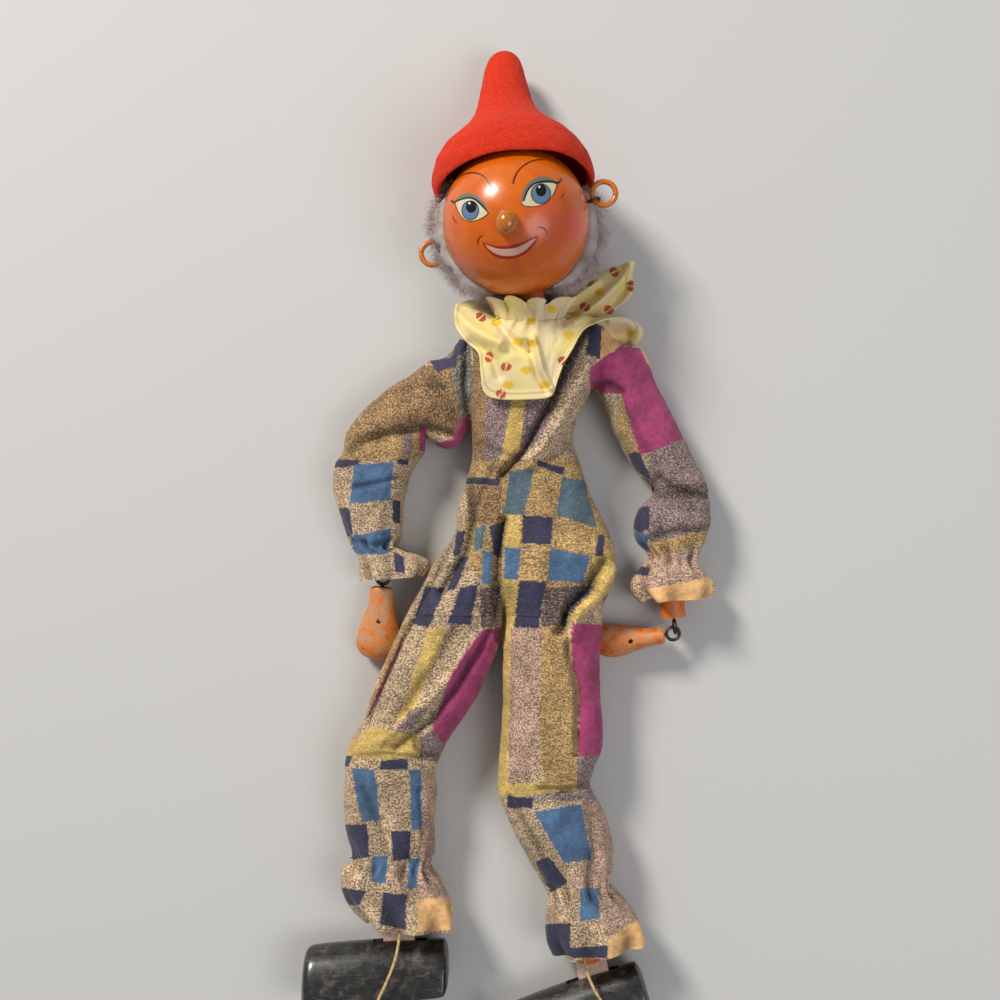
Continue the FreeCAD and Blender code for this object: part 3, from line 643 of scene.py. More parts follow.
def hat():
    tilt = Matrix.Rotation(math.radians(hatShape["tilt"]), 4, "X")
    turn = Matrix.Rotation(math.radians(hatShape["turn"]), 4, "Z")
    place = Matrix.Translation(headCentre + Vector(hatShape["place"])) @ turn @ tilt

    def placing(u, v):
        radius, height = smoothPath(hatShape["outline"], v)
        angle = 2 * math.pi * u
        east = math.cos(angle)
        north = math.sin(angle)
        # broad dents and small lumps of the felt
        lump = 1 + 0.028 * noise.noise(Vector((east * 1.6, north * 1.6, height * 0.07)))
        lump += 0.012 * noise.noise(Vector((east * 5, north * 5, height * 0.3 + 9)))
        radius = max(radius, 0) * lump
        lean = hatShape["lean"] * math.sin(height / hatShape["height"] * math.pi)
        local = Vector((radius * east - lean, radius * hatShape["depth"] * north, height))
        return place @ (local * mm)

    bm = mapped(180, 150, placing)
    outwards(bm, headCentre + Vector((0, 0.02, 0)))
    piece = finishMesh(bm, "Felt hat")
    addFinish(piece, "SOLIDIFY", thickness=hatShape["wall"], offset=-1.0)
    dress(piece, felt(), "head", ("hat",))


# Hair: teased wool round the back of the head

def wool(name, dark, middle, pale):
    made = Finish(name, 0.95, Sheen_Weight=0.35)
    tufts = made.noise(190, 4, 0.6)
    made.colour(made.ramp(tufts, (0.3, dark), (0.5, middle), (0.72, pale)))
    made.bump(made.noise(2600, 6, 0.8), 0.0007, 0.9)
    return made.material


# how far the wool stands out from the ball in mm, from the left ear round to the right
woolSide = [(reach,) for reach in (5.0, 6.8, 7.6, 6.0, 4.6, 4.4, 5.4, 7.6, 10.2, 10.4, 8.0)]
# each fibre: its length, width and curl in metres, its waves, and how many there are
fibreShape = {"length": (0.0018, 0.0042), "width": (0.00005, 0.0001), "curl": 0.0008,
              "waves": (2.5, 6), "steps": 5, "count": 9000, "quickCount": 60}


def woolSpot(u, lean):
    # a direction from the head's middle: u goes round from ear to ear, lean up and down it
    turn = math.radians(8 + 170 * u)
    low = math.radians(-62 + 96 * lean)
    flat = Vector((math.cos(turn) * 0.98, 0, -math.sin(turn)))
    return (flat * math.cos(low) + Vector((0.06, math.sin(low), 0))).normalized()


def woolSwell(u, lean):
    swell = max(math.sin(math.pi * min(max(lean, 0), 1)), 0) ** 0.55
    lump = noise.noise(Vector((u * 11, lean * 7, 2.5)))
    lump += 0.6 * noise.noise(Vector((u * 27, lean * 17, 7.5)))
    reach = smoothPath(woolSide, 1 - u)[0]
    return swell * max(reach * (0.76 + 0.34 * lump), 0.5) * mm


def hair():
    under = wool("Greyish mauve wool", tone(158, 138, 128), tone(200, 182, 174),
                 tone(226, 212, 208))
    fibre = wool("Wool fibres", tone(184, 166, 158), tone(214, 198, 194), tone(236, 226, 224))

    def placing(u, v):
        # v goes out over the roll and back on the ball, so that the roll is closed
        lean = v * 2 if v < 0.5 else (1 - v) * 2
        out = woolSpot(u, lean)
        ends = min(max(min(u, 1 - u) * 12, 0), 1) ** 0.5
        lift = (woolSwell(u, lean) * ends if v < 0.5 else 0) + 0.0001
        place = headCentre + out * (headRadius + lift)
        place.z = max(place.z, 0.0004)
        return place

    base = outwards(mapped(fineness(220), fineness(120), placing), headCentre)
    dress(finishMesh(base, "Wool underneath"), under, "head", ("hair",))
    strands = bmesh.new()
    for _ in range(fibreShape["count"]):
        u = random.random()
        lean = random.uniform(0.03, 0.97)
        root = woolSpot(u, lean)
        start = headCentre + root * (headRadius + woolSwell(u, lean) * random.uniform(0.6, 0.98))
        stray = Vector((random.uniform(-0.8, 0.8), random.uniform(-0.8, 0.5),
                        random.uniform(-0.8, 0.8)))
        away = (root + stray).normalized()
        curl = away.cross(Vector((random.random() - 0.5, random.random(), 0.5))).normalized()
        length = random.uniform(*fibreShape["length"])
        width = random.uniform(*fibreShape["width"])
        waves = random.uniform(*fibreShape["waves"])
        corners = []
        for step in range(fibreShape["steps"] + 1):
            share = step / fibreShape["steps"]
            bend = curl * math.sin(share * waves) * fibreShape["curl"]
            middle = start + away * length * share + bend
            middle.z = max(middle.z, 0.0005)
            thin = width * (1.15 - share)
            side = curl.cross(away) * thin
            corners.append((middle - side, middle + side))
        made = [(strands.verts.new(a), strands.verts.new(b)) for a, b in corners]
        for (a, b), (c, d) in zip(made, made[1:]):
            strands.faces.new((a, b, d, c))
    dress(finishMesh(strands, "Wool fibres"), fibre, "head")


print("head")
headBall()
eyes()
browsAndMouth()
nose()
ears()
neck()
hat()
hair()


# Cloth of the suit. Outlines, folds and print are set where they show in the photograph

# left edge, right edge, lowest and highest point in mm at stations down each piece
bodyStations = [
    (478, 322, 594, 322, 1.5, 21.0), (467, 345, 601, 338, 0.6, 23.6),
    (465, 372, 596, 362, 0.3, 24.2), (467, 398, 590, 392, 0.3, 24.0),
    (471, 421, 577, 420, 0.3, 23.6), (472, 440, 572, 440, 0.3, 22.8),
    (472, 460, 579, 462, 0.3, 22.0), (467, 480, 585, 481, 0.3, 21.2),
    (460, 497, 591, 497, 0.3, 20.8), (457, 515, 600, 515, 0.3, 21.0),
    (455, 532, 609, 533, 0.3, 21.4), (446, 547, 615, 550, 0.3, 22.0),
    (434, 562, 614, 567, 0.3, 22.6), (424, 582, 613, 584, 0.3, 23.2),
    (413, 601, 604, 602, 0.3, 22.6), (408, 612, 602, 614, 0.3, 22.0)]
sleeveStations = {
    "left": [
        (488, 338, 493, 428, 2.0, 14.5),
        (468, 334, 475, 432, 1.0, 17.0), (461, 339, 468, 430, 0.5, 17.2),
        (446, 357, 459, 444, 0.3, 17.0), (428, 361, 446, 449, 0.3, 16.6),
        (412, 375, 432, 442, 0.3, 16.2), (391, 387, 426, 437, 0.3, 16.2),
        (367, 407, 425, 446, 0.3, 16.6), (350, 428, 424, 453, 0.3, 16.6),
        (343, 451, 416, 465, 0.3, 16.2), (335.5, 464, 411, 475, 0.3, 16.2),
        (333, 480, 406.5, 490, 0.3, 16.0), (335.5, 497, 403.5, 508, 0.3, 15.8),
        (341, 514, 402.7, 526, 0.3, 15.6), (347, 532, 401.5, 540, 0.3, 15.2),
        (355, 546, 394, 548, 0.6, 14.2), (360, 556, 412, 553, 0.4, 15.2),
        (362, 568, 427, 563, 0.3, 16.2), (365, 580, 423, 575, 0.3, 16.6)],
    "right": [
        (562, 388, 574, 338, 2.0, 14.5),
        (586, 392, 598, 330, 1.0, 17.0), (594, 389, 606, 334, 0.5, 17.2),
        (600, 396, 622, 345, 0.3, 17.0), (602, 404, 638, 349, 0.3, 16.8),
        (605, 411, 647, 360, 0.3, 16.4), (609, 419, 654, 380, 0.3, 16.2),
        (613, 431, 664, 400, 0.3, 16.0), (620, 444, 675, 421, 0.3, 16.0),
        (628, 459, 686, 444, 0.3, 16.0), (640, 474, 696, 465, 0.3, 16.2),
        (653, 486, 705, 484, 0.3, 16.2), (651, 497, 709, 502, 0.3, 16.2),
        (640, 509, 710, 516, 0.3, 16.2), (635, 525, 709, 530, 0.3, 16.0),
        (638, 541, 703, 546, 0.3, 15.2), (652, 557, 694, 561, 0.6, 14.0),
        (640, 571, 704, 572, 0.4, 15.4), (632, 587, 711, 585, 0.3, 16.6),
        (643, 600, 706, 597, 0.3, 16.8)]}
trouserStations = {
    "left": [
        (446, 550, 508, 550, 1.8, 18.6), (424, 585, 507, 586, 1.0, 20.6),
        (411, 606, 505, 607, 0.5, 21.6), (401, 626, 503, 628, 0.3, 21.8),
        (390, 650, 497, 650, 0.3, 21.6), (380, 674, 487, 673, 0.3, 21.2),
        (371, 698, 476, 697, 0.3, 20.8), (363, 722, 462, 718, 0.3, 20.4),
        (350, 741, 449, 739, 0.3, 20.4), (346, 757, 440, 757, 0.3, 20.4),
        (345, 775, 434.5, 773, 0.3, 20.4), (344, 795, 436.5, 792, 0.3, 20.2),
        (344.5, 815, 434, 813, 0.3, 19.8), (348, 832, 434, 832, 0.3, 19.4),
        (354, 848, 433, 851, 0.3, 19.4), (357, 861, 427, 866, 0.6, 20.0),
        (343, 872, 437, 880, 0.4, 21.6), (344, 889, 446, 895, 0.3, 22.6),
        (355, 905, 452, 911, 0.3, 23.2), (370, 917, 451, 925, 0.3, 23.4)],
    "right": [
        (506, 550, 606, 550, 1.8, 18.6), (503, 586, 606, 586, 1.0, 20.6),
        (502, 607, 602, 606, 0.5, 21.6), (502, 628, 601, 628, 0.3, 21.8),
        (503, 650, 600, 650, 0.3, 21.6), (502.5, 675, 600, 675, 0.3, 21.2),
        (502.5, 700, 600.5, 700, 0.3, 20.8), (501.5, 725, 602.5, 725, 0.3, 20.6),
        (500, 750, 602, 748, 0.3, 20.4), (498.5, 772, 594, 768, 0.3, 20.4),
        (499, 792, 590, 785, 0.3, 20.4), (504, 808, 599, 803, 0.3, 20.2),
        (514, 831, 608, 824, 0.3, 20.0), (526, 853, 612, 846, 0.3, 19.8),
        (539, 873, 611, 867, 0.3, 19.8), (552, 891, 606, 884, 0.6, 20.2),
        (549, 905, 620, 897, 0.4, 21.6), (547, 921, 634, 912, 0.3, 22.6),
        (549, 936, 642, 928, 0.3, 23.0), (556, 951, 641, 939, 0.3, 23.2)]}

# folds: points they run through, half width in pixels, height in mm (below 0 for a valley)
folds = [
    ([(338, 455), (365, 441), (395, 433), (424, 428), (452, 436)], 4.5, -1.5),
    ([(350, 437), (385, 420), (425, 412)], 9, 0.9),
    ([(355, 488), (375, 484), (398, 478)], 3, -0.7),
    ([(432, 378), (446, 400), (458, 424)], 5, -0.8),
    ([(395, 392), (420, 385), (446, 388)], 4, -0.6),
    ([(345, 540), (372, 545), (398, 541)], 3, -0.6),
    ([(466, 345), (464, 385), (470, 425)], 3, -1.4),
    ([(590, 322), (568, 362), (548, 408), (525, 450), (500, 476)], 4, -2.7),
    ([(601, 330), (583, 372), (560, 420), (530, 462)], 7, 1.7),
    ([(468, 482), (472, 520), (463, 553), (440, 592)], 4, -2.5),
    ([(503, 520), (498, 550), (497, 580), (500, 622), (500, 640)], 4, -2.6),
    ([(484, 500), (480, 545), (470, 600)], 5, 0.8),
    ([(450, 545), (428, 588), (404, 632)], 2.6, -1.5),
    ([(613, 568), (600, 592), (578, 612), (569, 636)], 5, 2.2),
    ([(604, 562), (590, 586), (570, 606), (560, 632)], 4.5, -2.8),
    ([(540, 480), (546, 540), (536, 600)], 9, 0.6),
    ([(480, 445), (520, 462), (560, 456)], 4, -0.7), ([(492, 470), (476, 505)], 4, -0.9),
    ([(410, 622), (386, 673), (366, 722)], 2.6, -1.8), ([(402, 632), (376, 690)], 3, 0.8),
    ([(474, 640), (446, 682), (412, 716), (380, 742)], 5, 1.2),
    ([(490, 632), (462, 680), (432, 722), (396, 748)], 4, -1.5),
    ([(455, 632), (425, 680), (392, 722)], 5, -0.9),
    ([(352, 757), (385, 755), (420, 759)], 3, -0.6),
    ([(362, 790), (376, 820), (388, 858)], 4, -1.0),
    ([(438, 757), (425, 757), (416, 742)], 4, -1.4),
    ([(420, 790), (424, 830), (420, 862)], 3, -0.6),
    ([(567, 616), (569, 655), (578, 690), (577, 754)], 3.4, -1.3),
    ([(560, 620), (562, 655), (571, 690), (570, 750)], 3.4, 0.8),
    ([(592, 784), (568, 791), (540, 790)], 4, -1.2),
    ([(508, 798), (530, 838), (556, 884)], 4, -1.2),
    ([(590, 806), (596, 850), (588, 886)], 4, -0.8),
    ([(520, 640), (516, 700), (520, 770)], 7, 0.5),
    ([(658, 480), (676, 491), (706, 497)], 4, -1.1),
    ([(640, 505), (668, 520), (704, 524)], 8, 0.6),
    ([(619, 400), (640, 440), (660, 476)], 5, -0.8),
    ([(622, 392), (606, 384), (594, 386)], 4, -1.2),
    ([(650, 540), (676, 532), (706, 530)], 4, -0.7)]


# how much deeper the folds are made than listed, and how many half widths a fold reaches
foldStrength = 1.35
foldReach = 2.6


def boxAround(path, reach=0):
    xs = [place[0] for place in path]
    ys = [place[1] for place in path]
    return min(xs) - reach, max(xs) + reach, min(ys) - reach, max(ys) + reach


def boxed(rolls):
    # each fold with the box that it can touch, so that the others are passed over
    return [(path, width, height, boxAround(path, width * foldReach))
            for path, width, height in rolls]


foldBoxes = boxed(folds)


def distanceTo(path, px, py):
    nearest = 1e9
    for (ax, ay), (bx, by) in zip(path, path[1:]):
        dx, dy = bx - ax, by - ay
        share = max(0, min(1, ((px - ax) * dx + (py - ay) * dy) / (dx * dx + dy * dy)))
        nearest = min(nearest, math.hypot(px - ax - dx * share, py - ay - dy * share))
    return nearest


def foldHeight(px, py, boxes):
    total = 0
    for path, width, height, (left, right, top, bottom) in boxes:
        if not (left < px < right and top < py < bottom):
            continue
        away = distanceTo(path, px, py) / width
        total += foldStrength * height * math.exp(-away * away)
    return total * mm


def section(stations, u, v):
    # a point of the plain tube: u from the left edge over the top and back underneath
    lx, ly, rx, ry, low, high = smoothPath(stations, v)
    middle = (low + high) / 2 * mm
    left = atHeight(lx, ly, middle)
    right = atHeight(rx, ry, middle)
    turn = 2 * math.pi * u
    side = -math.cos(turn)
    rise = math.sin(turn)
    place = (left + right) / 2 + (right - left) / 2 * side
    if rise > 0:
        place.z = middle + (high * mm - middle) * rise ** 0.72
    else:
        place.z = middle - (middle - low * mm) * (-rise) ** 0.5
    return place


# each cloth's colour, and how much dark and pale speckle it has; foldShadow is painted shade, not a cloth
cloths = {
    "navy": (50, 48, 72, 0.15), "blue": (72, 104, 138, 0.2), "teal": (82, 102, 112, 0.25),
    "magenta": (164, 58, 104, 0.15), "wine": (120, 40, 62, 0.15), "cream": (204, 176, 138, 1.0),
    "pink": (194, 160, 136, 0.9), "mauve": (150, 126, 122, 0.9), "yellow": (214, 180, 98, 0.55),
    "ochre": (190, 154, 96, 0.85), "brown": (158, 122, 78, 0.9), "peach": (232, 180, 118, 0.25),
    "grey": (128, 122, 112, 0.9), "foldShadow": (112, 90, 84, 0.9), "edge": (226, 190, 128, 0.2)}
# grounds of the patchwork, later ones over earlier ones, then the printed patches on them
grounds = [
    ("cream", [(0, 0), (1000, 0), (1000, 1000), (0, 1000)]),
    ("brown", [(330, 400), (400, 370), (450, 362), (472, 380), (472, 440), (425, 432),
               (345, 458)]),
    ("grey", [(436, 362), (470, 340), (474, 395), (462, 420), (452, 372)]),
    ("ochre", [(335, 444), (418, 427), (425, 452), (408, 461), (335, 462)]),
    ("mauve", [(403, 430), (413, 428), (411, 456), (404, 457)]),
    ("brown", [(474, 330), (500, 330), (486, 470), (470, 470)]),
    ("mauve", [(486, 380), (600, 320), (600, 390), (560, 420), (505, 468), (484, 468)]),
    ("cream", [(594, 320), (604, 350), (590, 400), (572, 450), (530, 470), (548, 425)]),
    ("yellow", [(512, 396), (526, 396), (520, 450), (507, 466), (500, 462)]),
    ("ochre", [(470, 462), (600, 456), (612, 560), (604, 600), (500, 602), (466, 560)]),
    ("brown", [(466, 486), (502, 486), (500, 520), (486, 526), (470, 520)]),
    ("yellow", [(503, 515), (520, 515), (518, 630), (500, 630)]),
    # painted shade: a darker ground along the valley folds at the crotch and the right hip
    ("foldShadow", [(480, 588), (502, 586), (494, 627), (481, 627)]),
    ("foldShadow", [(545, 588), (592, 585), (566, 626), (541, 627)]),
    ("yellow", [(593, 556), (616, 548), (613, 590), (575, 622), (564, 620), (596, 590)]),
    ("mauve", [(655, 440), (690, 430), (712, 500), (712, 535), (650, 545), (640, 500)]),
    # painted shade: a darker ground along a valley fold of the right sleeve
    ("foldShadow", [(652, 486), (706, 482), (710, 500), (655, 498)]),
    ("ochre", [(650, 543), (710, 528), (708, 541), (652, 557)]),
    ("pink", [(642, 556), (712, 552), (712, 590), (640, 590)]),
    ("ochre", [(618, 402), (626, 400), (638, 452), (627, 455), (616, 426)]),
    ("peach", [(600, 330), (650, 340), (655, 375), (640, 352), (622, 345), (598, 364)]),
    ("ochre", [(401, 625), (412, 620), (375, 700), (358, 730)]),
    ("yellow", [(428, 629), (447, 627), (429, 676), (411, 719), (396, 722), (415, 669)]),
    ("yellow", [(344, 748), (372, 726), (420, 737), (420, 757), (378, 759), (342, 757)]),
    ("mauve", [(396, 729), (410, 710), (425, 707), (415, 729)]),
    ("mauve", [(420, 737), (436, 729), (446, 746), (438, 762), (421, 760)]),
    ("pink", [(422, 769), (440, 769), (436, 872), (421, 872)]),
    ("pink", [(421, 872), (445, 872), (450, 900), (418, 900)]),
    ("yellow", [(500, 627), (511, 627), (508, 792), (494, 792)]),
    ("pink", [(511, 627), (543, 627), (541, 770), (508, 786)]),
    ("ochre", [(542, 627), (569, 625), (576, 702), (576, 790), (544, 790), (540, 740)]),
    ("yellow", [(494, 785), (577, 782), (577, 794), (494, 797)]),
    ("mauve", [(577, 756), (605, 754), (596, 800), (535, 800), (535, 794), (577, 790)]),
    ("pink", [(581, 800), (620, 800), (620, 900), (568, 884), (592, 860)]),
    ("pink", [(598, 884), (622, 884), (642, 922), (606, 938)])]
prints = [
    ("navy", [(428, 359), (458, 357), (456, 367), (447, 369), (438, 373)]),
    ("navy", [(456, 338), (470, 341), (464, 353), (452, 359)]),
    ("magenta", [(420, 425), (427, 427), (426, 452), (419, 450)]),
    ("magenta", [(460, 418), (472, 420), (462, 446), (446, 452), (432, 443), (452, 440)]),
    ("navy", [(332, 459), (360, 460), (359, 466), (335, 468)]),
    ("navy", [(397, 459), (409, 459), (408, 465), (397, 464)]),
    ("blue", [(354, 465), (394, 462), (390, 500), (349, 504)]),
    ("navy", [(336, 508), (349, 507), (353, 534), (343, 540)]),
    ("navy", [(393, 500), (401, 500), (400, 524), (392, 522)]),
    ("blue", [(350, 536), (392, 528), (388, 554), (354, 554)]),
    ("navy", [(393, 551), (404, 557), (405, 574), (395, 572)]),
    ("navy", [(465, 477), (501, 478), (499, 486), (465, 484)]),
    ("teal", [(510, 471), (534, 469), (524, 515), (503, 514)]),
    ("navy", [(523, 515), (553, 517), (551, 545), (521, 543)]),
    ("navy", [(489, 526), (505, 521), (501, 558), (494, 556)]),
    ("navy", [(457, 531), (466, 531), (460, 554), (453, 556)]),
    ("teal", [(475, 528), (486, 525), (482, 549), (474, 552)]),
    ("blue", [(483, 551), (493, 552), (491, 584), (482, 584)]),
    ("blue", [(505, 547), (521, 548), (518, 580), (503, 578)]),
    ("navy", [(519, 580), (546, 582), (539, 628), (514, 627)]),
    ("navy", [(460, 558), (469, 556), (456, 589), (446, 592)]),
    ("navy", [(425, 586), (445, 588), (429, 628), (413, 624)]),
    ("navy", [(460, 588), (478, 584), (471, 625), (447, 624)]),
    ("navy", [(590, 322), (602, 326), (600, 359), (586, 354)]),
    ("navy", [(538, 460), (565, 468), (563, 475), (537, 466)]),
    ("teal", [(562, 477), (584, 480), (597, 528), (556, 515)]),
    ("navy", [(598, 534), (605, 535), (603, 556), (595, 556)]),
    ("blue", [(551, 548), (590, 556), (583, 583), (547, 580)]),
    ("navy", [(576, 593), (594, 586), (587, 597), (571, 608)]),
    ("magenta", [(590, 368), (620, 346), (640, 348), (684, 439), (640, 456), (621, 394),
                 (590, 392)]),
    ("navy", [(627, 453), (639, 452), (651, 479), (638, 474)]),
    ("navy", [(637, 508), (649, 506), (650, 528), (641, 534), (633, 528)]),
    ("blue", [(633, 531), (648, 534), (648, 552), (637, 545)]),
    ("navy", [(632, 565), (650, 567), (648, 576), (630, 574)]),
    ("peach", [(649, 589), (712, 577), (714, 606), (649, 606)]),
    ("magenta", [(482, 630), (502, 627), (494, 662), (470, 712), (444, 744), (432, 729),
                 (449, 680), (465, 653)]),
    ("wine", [(401, 639), (408, 630), (389, 676), (371, 715), (365, 720), (385, 676)]),
    ("navy", [(340, 756), (352, 756), (349, 766), (340, 766)]),
    ("navy", [(381, 761), (408, 758), (408, 769), (380, 770)]),
    ("blue", [(352, 768), (375, 770), (380, 820), (362, 822), (356, 795)]),
    ("blue", [(409, 770), (421, 770), (422, 830), (412, 830)]),
    ("navy", [(340, 825), (367, 824), (370, 857), (350, 860)]),
    ("navy", [(391, 831), (411, 831), (410, 859), (393, 862)]),
    ("blue", [(372, 856), (388, 856), (386, 884), (371, 882)]),
    ("blue", [(409, 859), (420, 858), (417, 888), (407, 889)]),
    ("navy", [(342, 888), (367, 891), (360, 905), (345, 905)]),
    ("navy", [(383, 893), (407, 894), (406, 930), (379, 924)]),
    ("peach", [(417, 899), (450, 897), (460, 930), (419, 932)]),
    ("magenta", [(571, 623), (606, 625), (606, 755), (578, 756), (578, 689), (572, 666)]),
    ("edge", [(568, 622), (571, 622), (572, 665), (579, 690), (578, 754), (575, 754), (575, 690),
              (568, 665)]),
    ("navy", [(507, 796), (534, 798), (532, 808), (507, 808)]),
    ("blue", [(534, 812), (581, 804), (592, 860), (564, 863)]),
    ("navy", [(535, 862), (549, 856), (568, 883), (551, 893)]),
    ("blue", [(580, 888), (598, 888), (600, 919), (580, 921)]),
    ("navy", [(545, 924), (571, 923), (570, 956), (548, 956)]),
    ("peach", [(609, 939), (640, 918), (650, 936), (640, 960), (608, 960)]),
    ("navy", [(570, 948), (608, 945), (607, 958), (570, 958)])]


def inside(outline, px, py):
    # crossings of a line to the right of the point
    crossed = False
    for (ax, ay), (bx, by) in zip(outline, outline[1:] + outline[:1]):
        if (ay > py) != (by > py) and px < (bx - ax) * (py - ay) / (by - ay) + ax:
            crossed = not crossed
    return crossed


printBoxes = [(name, outline, boxAround(outline)) for name, outline in grounds + prints]


def clothColour(px, py):
    # the last outline that holds the place gives the cloth, with a wavering edge and a faded tone
    wobble = noise.noise_vector(Vector((px * 0.35, py * 0.35, 1.7))) * 0.9
    qx = px + wobble.x
    qy = py + wobble.y
    found = "cream"
    for name, outline, (left, right, top, bottom) in printBoxes:
        if left <= qx <= right and top <= qy <= bottom and inside(outline, qx, qy):
            found = name
    red, green, blue, speckle = cloths[found]
    fade = 1 + 0.16 * noise.noise(Vector((px * 0.045, py * 0.045, 6.1)))
    fade += 0.12 * noise.noise(Vector((px * 0.17, py * 0.17, 2.1)))
    return (*tone(red * fade, green * fade, blue * fade)[:3], speckle)


def suitPaint():
    made = Finish("Printed cotton of the suit", 0.86, Sheen_Weight=0.12)
    base = made.add("VertexColor", layer_name="print")
    speckle = made.tree.nodes[-1].outputs[1]
    uv = made.add("UVMap")
    flakes = made.noise(1.75, 3, 0.65, vector=uv)
    clusters = made.noise(0.55, 3, 0.5, vector=uv)
    dark = made.ramp(made.sum("ADD", flakes, made.sum("MULTIPLY", clusters, 0.25)),
                     (0.6, 0.0), (0.66, 1.0))
    light = made.ramp(flakes, (0.36, 1.0), (0.43, 0.0))
    darker = made.blend(1.0, base, (0.19, 0.13, 0.15, 1), "MULTIPLY")
    lighter = made.blend(0.55, base, (0.86, 0.78, 0.58, 1))
    worn = made.blend(made.sum("MULTIPLY", dark, made.sum("MULTIPLY", speckle, 0.85)), base,
                      darker)
    worn = made.blend(made.sum("MULTIPLY", light, made.sum("MULTIPLY", speckle, 0.75)), worn,
                      lighter)
    lint = made.ramp(made.noise(6.0, 2, 0.5, vector=uv), (0.68, 0.0), (0.74, 0.5))
    worn = made.blend(lint, worn, (0.6, 0.52, 0.42, 1))
    made.colour(worn)
    weave = made.noise(9.0, 2, 0.5, vector=uv)
    made.bump(made.sum("ADD", weave, made.sum("MULTIPLY", flakes, 0.5)), 0.00012, 0.45)
    return made.material


def pleats(gathers, u, v):
    # each gather: where along the tube, how far it spreads, how many pleats, how high in mm
    total = 0
    for place, spread, count, height in gathers:
        near = math.exp(-((v - place) / spread) ** 2)
        wander = noise.noise(Vector((u * 6, v * 3, place * 40))) * 1.6
        total += height * near * math.cos(2 * math.pi * count * u + wander)
    return total * mm


def clothTube(stations, columns, rows, gathers, seed, creases=0.7, shaping=None):
    # the whole tube at once, so that its pieces share their edges
    bm = bmesh.new()
    uvs = bm.loops.layers.uv.verify()
    bmesh.ops.create_grid(bm, x_segments=columns, y_segments=rows, size=0.5, calc_uvs=True)
    around = bm.verts.layers.float.new("around")
    along = bm.verts.layers.float.new("along")
    hollow = bm.verts.layers.float.new("hollow")
    for vertex in bm.verts:
        u = vertex.co.x + 0.5
        v = vertex.co.y + 0.5
        vertex[around] = u
        vertex[along] = v
        vertex.co = section(stations, u, v)
    # lengths down the top of the tube, and its girth half way down
    steps = 40
    reaches = [0.0]
    for k in range(steps):
        step = section(stations, 0.25, (k + 1) / steps) - section(stations, 0.25, k / steps)
        reaches.append(reaches[-1] + step.length)

    def lengthAt(v):
        place = min(max(v, 0), 1) * steps
        index = min(int(place), steps - 1)
        return reaches[index] + (reaches[index + 1] - reaches[index]) * (place - index)

    girth = sum((section(stations, (k + 1) / 24, 0.5) - section(stations, k / 24, 0.5)).length
                for k in range(24))
    for face in bm.faces:
        for loop in face.loops:
            u, v = loop[uvs].uv
            loop[uvs].uv = (u * girth / mm, lengthAt(v) / mm)
    bmesh.ops.remove_doubles(bm, verts=bm.verts, dist=weld)
    outwards(bm, section(stations, 0.25, 0.5) - Vector((0, 0, 0.008)))
    bm.normal_update()
    moves = []
    for vertex in bm.verts:
        x, y, z = vertex.co
        # full folds on top, half of the creases underneath
        top = max(0.0, math.sin(2 * math.pi * vertex[around])) ** 0.5
        crease = noise.noise(Vector((x * 150, y * 60, seed + z * 60)))
        crease += 0.5 * noise.noise(Vector((x * 300, y * 210, seed + 5)))
        crease += 0.25 * noise.noise(Vector((x * 800, y * 650, seed + 9)))
        push = creases * mm * crease * (0.35 + 0.65 * top)
        if top > 0:
            push += foldHeight(*photoPoint(vertex.co), foldBoxes) * top
        push += pleats(gathers, vertex[around], vertex[along])
        vertex[hollow] = push / mm
        moves.append((vertex, vertex.normal * push))
    for vertex, move in moves:
        vertex.co += move
        vertex.co.z = max(vertex.co.z, 0.0004 + 0.0002 * vertex[around])
    if shaping:
        for vertex in bm.verts:
            vertex.co = shaping(vertex.co, vertex[around], vertex[along])
    bm.normal_update()
    return bm, (girth, lengthAt)


def cutOut(tube, start, end):
    # the part of a tube between two shares of its length, with sharp rims
    piece = tube.copy()
    along = piece.verts.layers.float["along"]
    spare = []
    for face in piece.faces:
        middle = sum(v[along] for v in face.verts) / len(face.verts)
        if not start <= middle < end:
            spare.append(face)
    bmesh.ops.delete(piece, geom=spare, context="FACES")
    for edge in piece.edges:
        edge.smooth = not edge.is_boundary
    return piece


# painted shade and light in the folds: how much darker a hollow and lighter a ridge is made for each mm of
# depth, and how thick the cloth is in metres
foldShadeAndLight = 0.34
clothWall = 0.00035
# past the end of a tube
toTheEnd = 1.1


def garment(name, tube, cut, start, end, nodes, bodies, turn, measured=False):
    # one piece of the suit, cut from its tube and bent over one joint
    part = cutOut(tube, start, end)
    area = sum(face.calc_area() for face in part.faces)
    piece = finishMesh(part, name)
    shades = piece.data.color_attributes.new("print", "FLOAT_COLOR", "POINT")
    values = []
    hollows = piece.data.attributes["hollow"].data
    for vertex, deep in zip(piece.data.vertices, hollows):
        # painted shade in the hollows and painted light on the ridges, multiplied into the print
        foldShadeFactor = min(max(1 + foldShadeAndLight * deep.value, 0.5), 1.12)
        *shade, speckle = clothColour(*photoPoint(vertex.co))
        values.extend([channel * foldShadeFactor for channel in shade] + [speckle])
    shades.data.foreach_set("color", values)
    addFinish(piece, "SOLIDIFY", thickness=clothWall, offset=-1.0, use_quality_normals=True)
    dress(piece, suitCloth, None, nodes)
    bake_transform(piece, *bodies, start=turn[0], end=turn[1])
    girth, lengthAt = cut
    long = area / girth if measured else lengthAt(end) - lengthAt(start)
    return piece


def station(stations, place):
    # the share along a tube of a height in the photograph
    count = len(stations) - 1
    ys = [(row[1] + row[3]) / 2 for row in stations]
    for index in range(count):
        if ys[index] <= place <= ys[index + 1]:
            return (index + (place - ys[index]) / (ys[index + 1] - ys[index])) / count
    return 0.0


# each leg's seed, and where its ankle gather and its cut below the hip show in the photograph
legShapes = {"left": {"seed": 21.0, "gather": 863, "cut": 650},
             "right": {"seed": 31.0, "gather": 887, "cut": 650}}


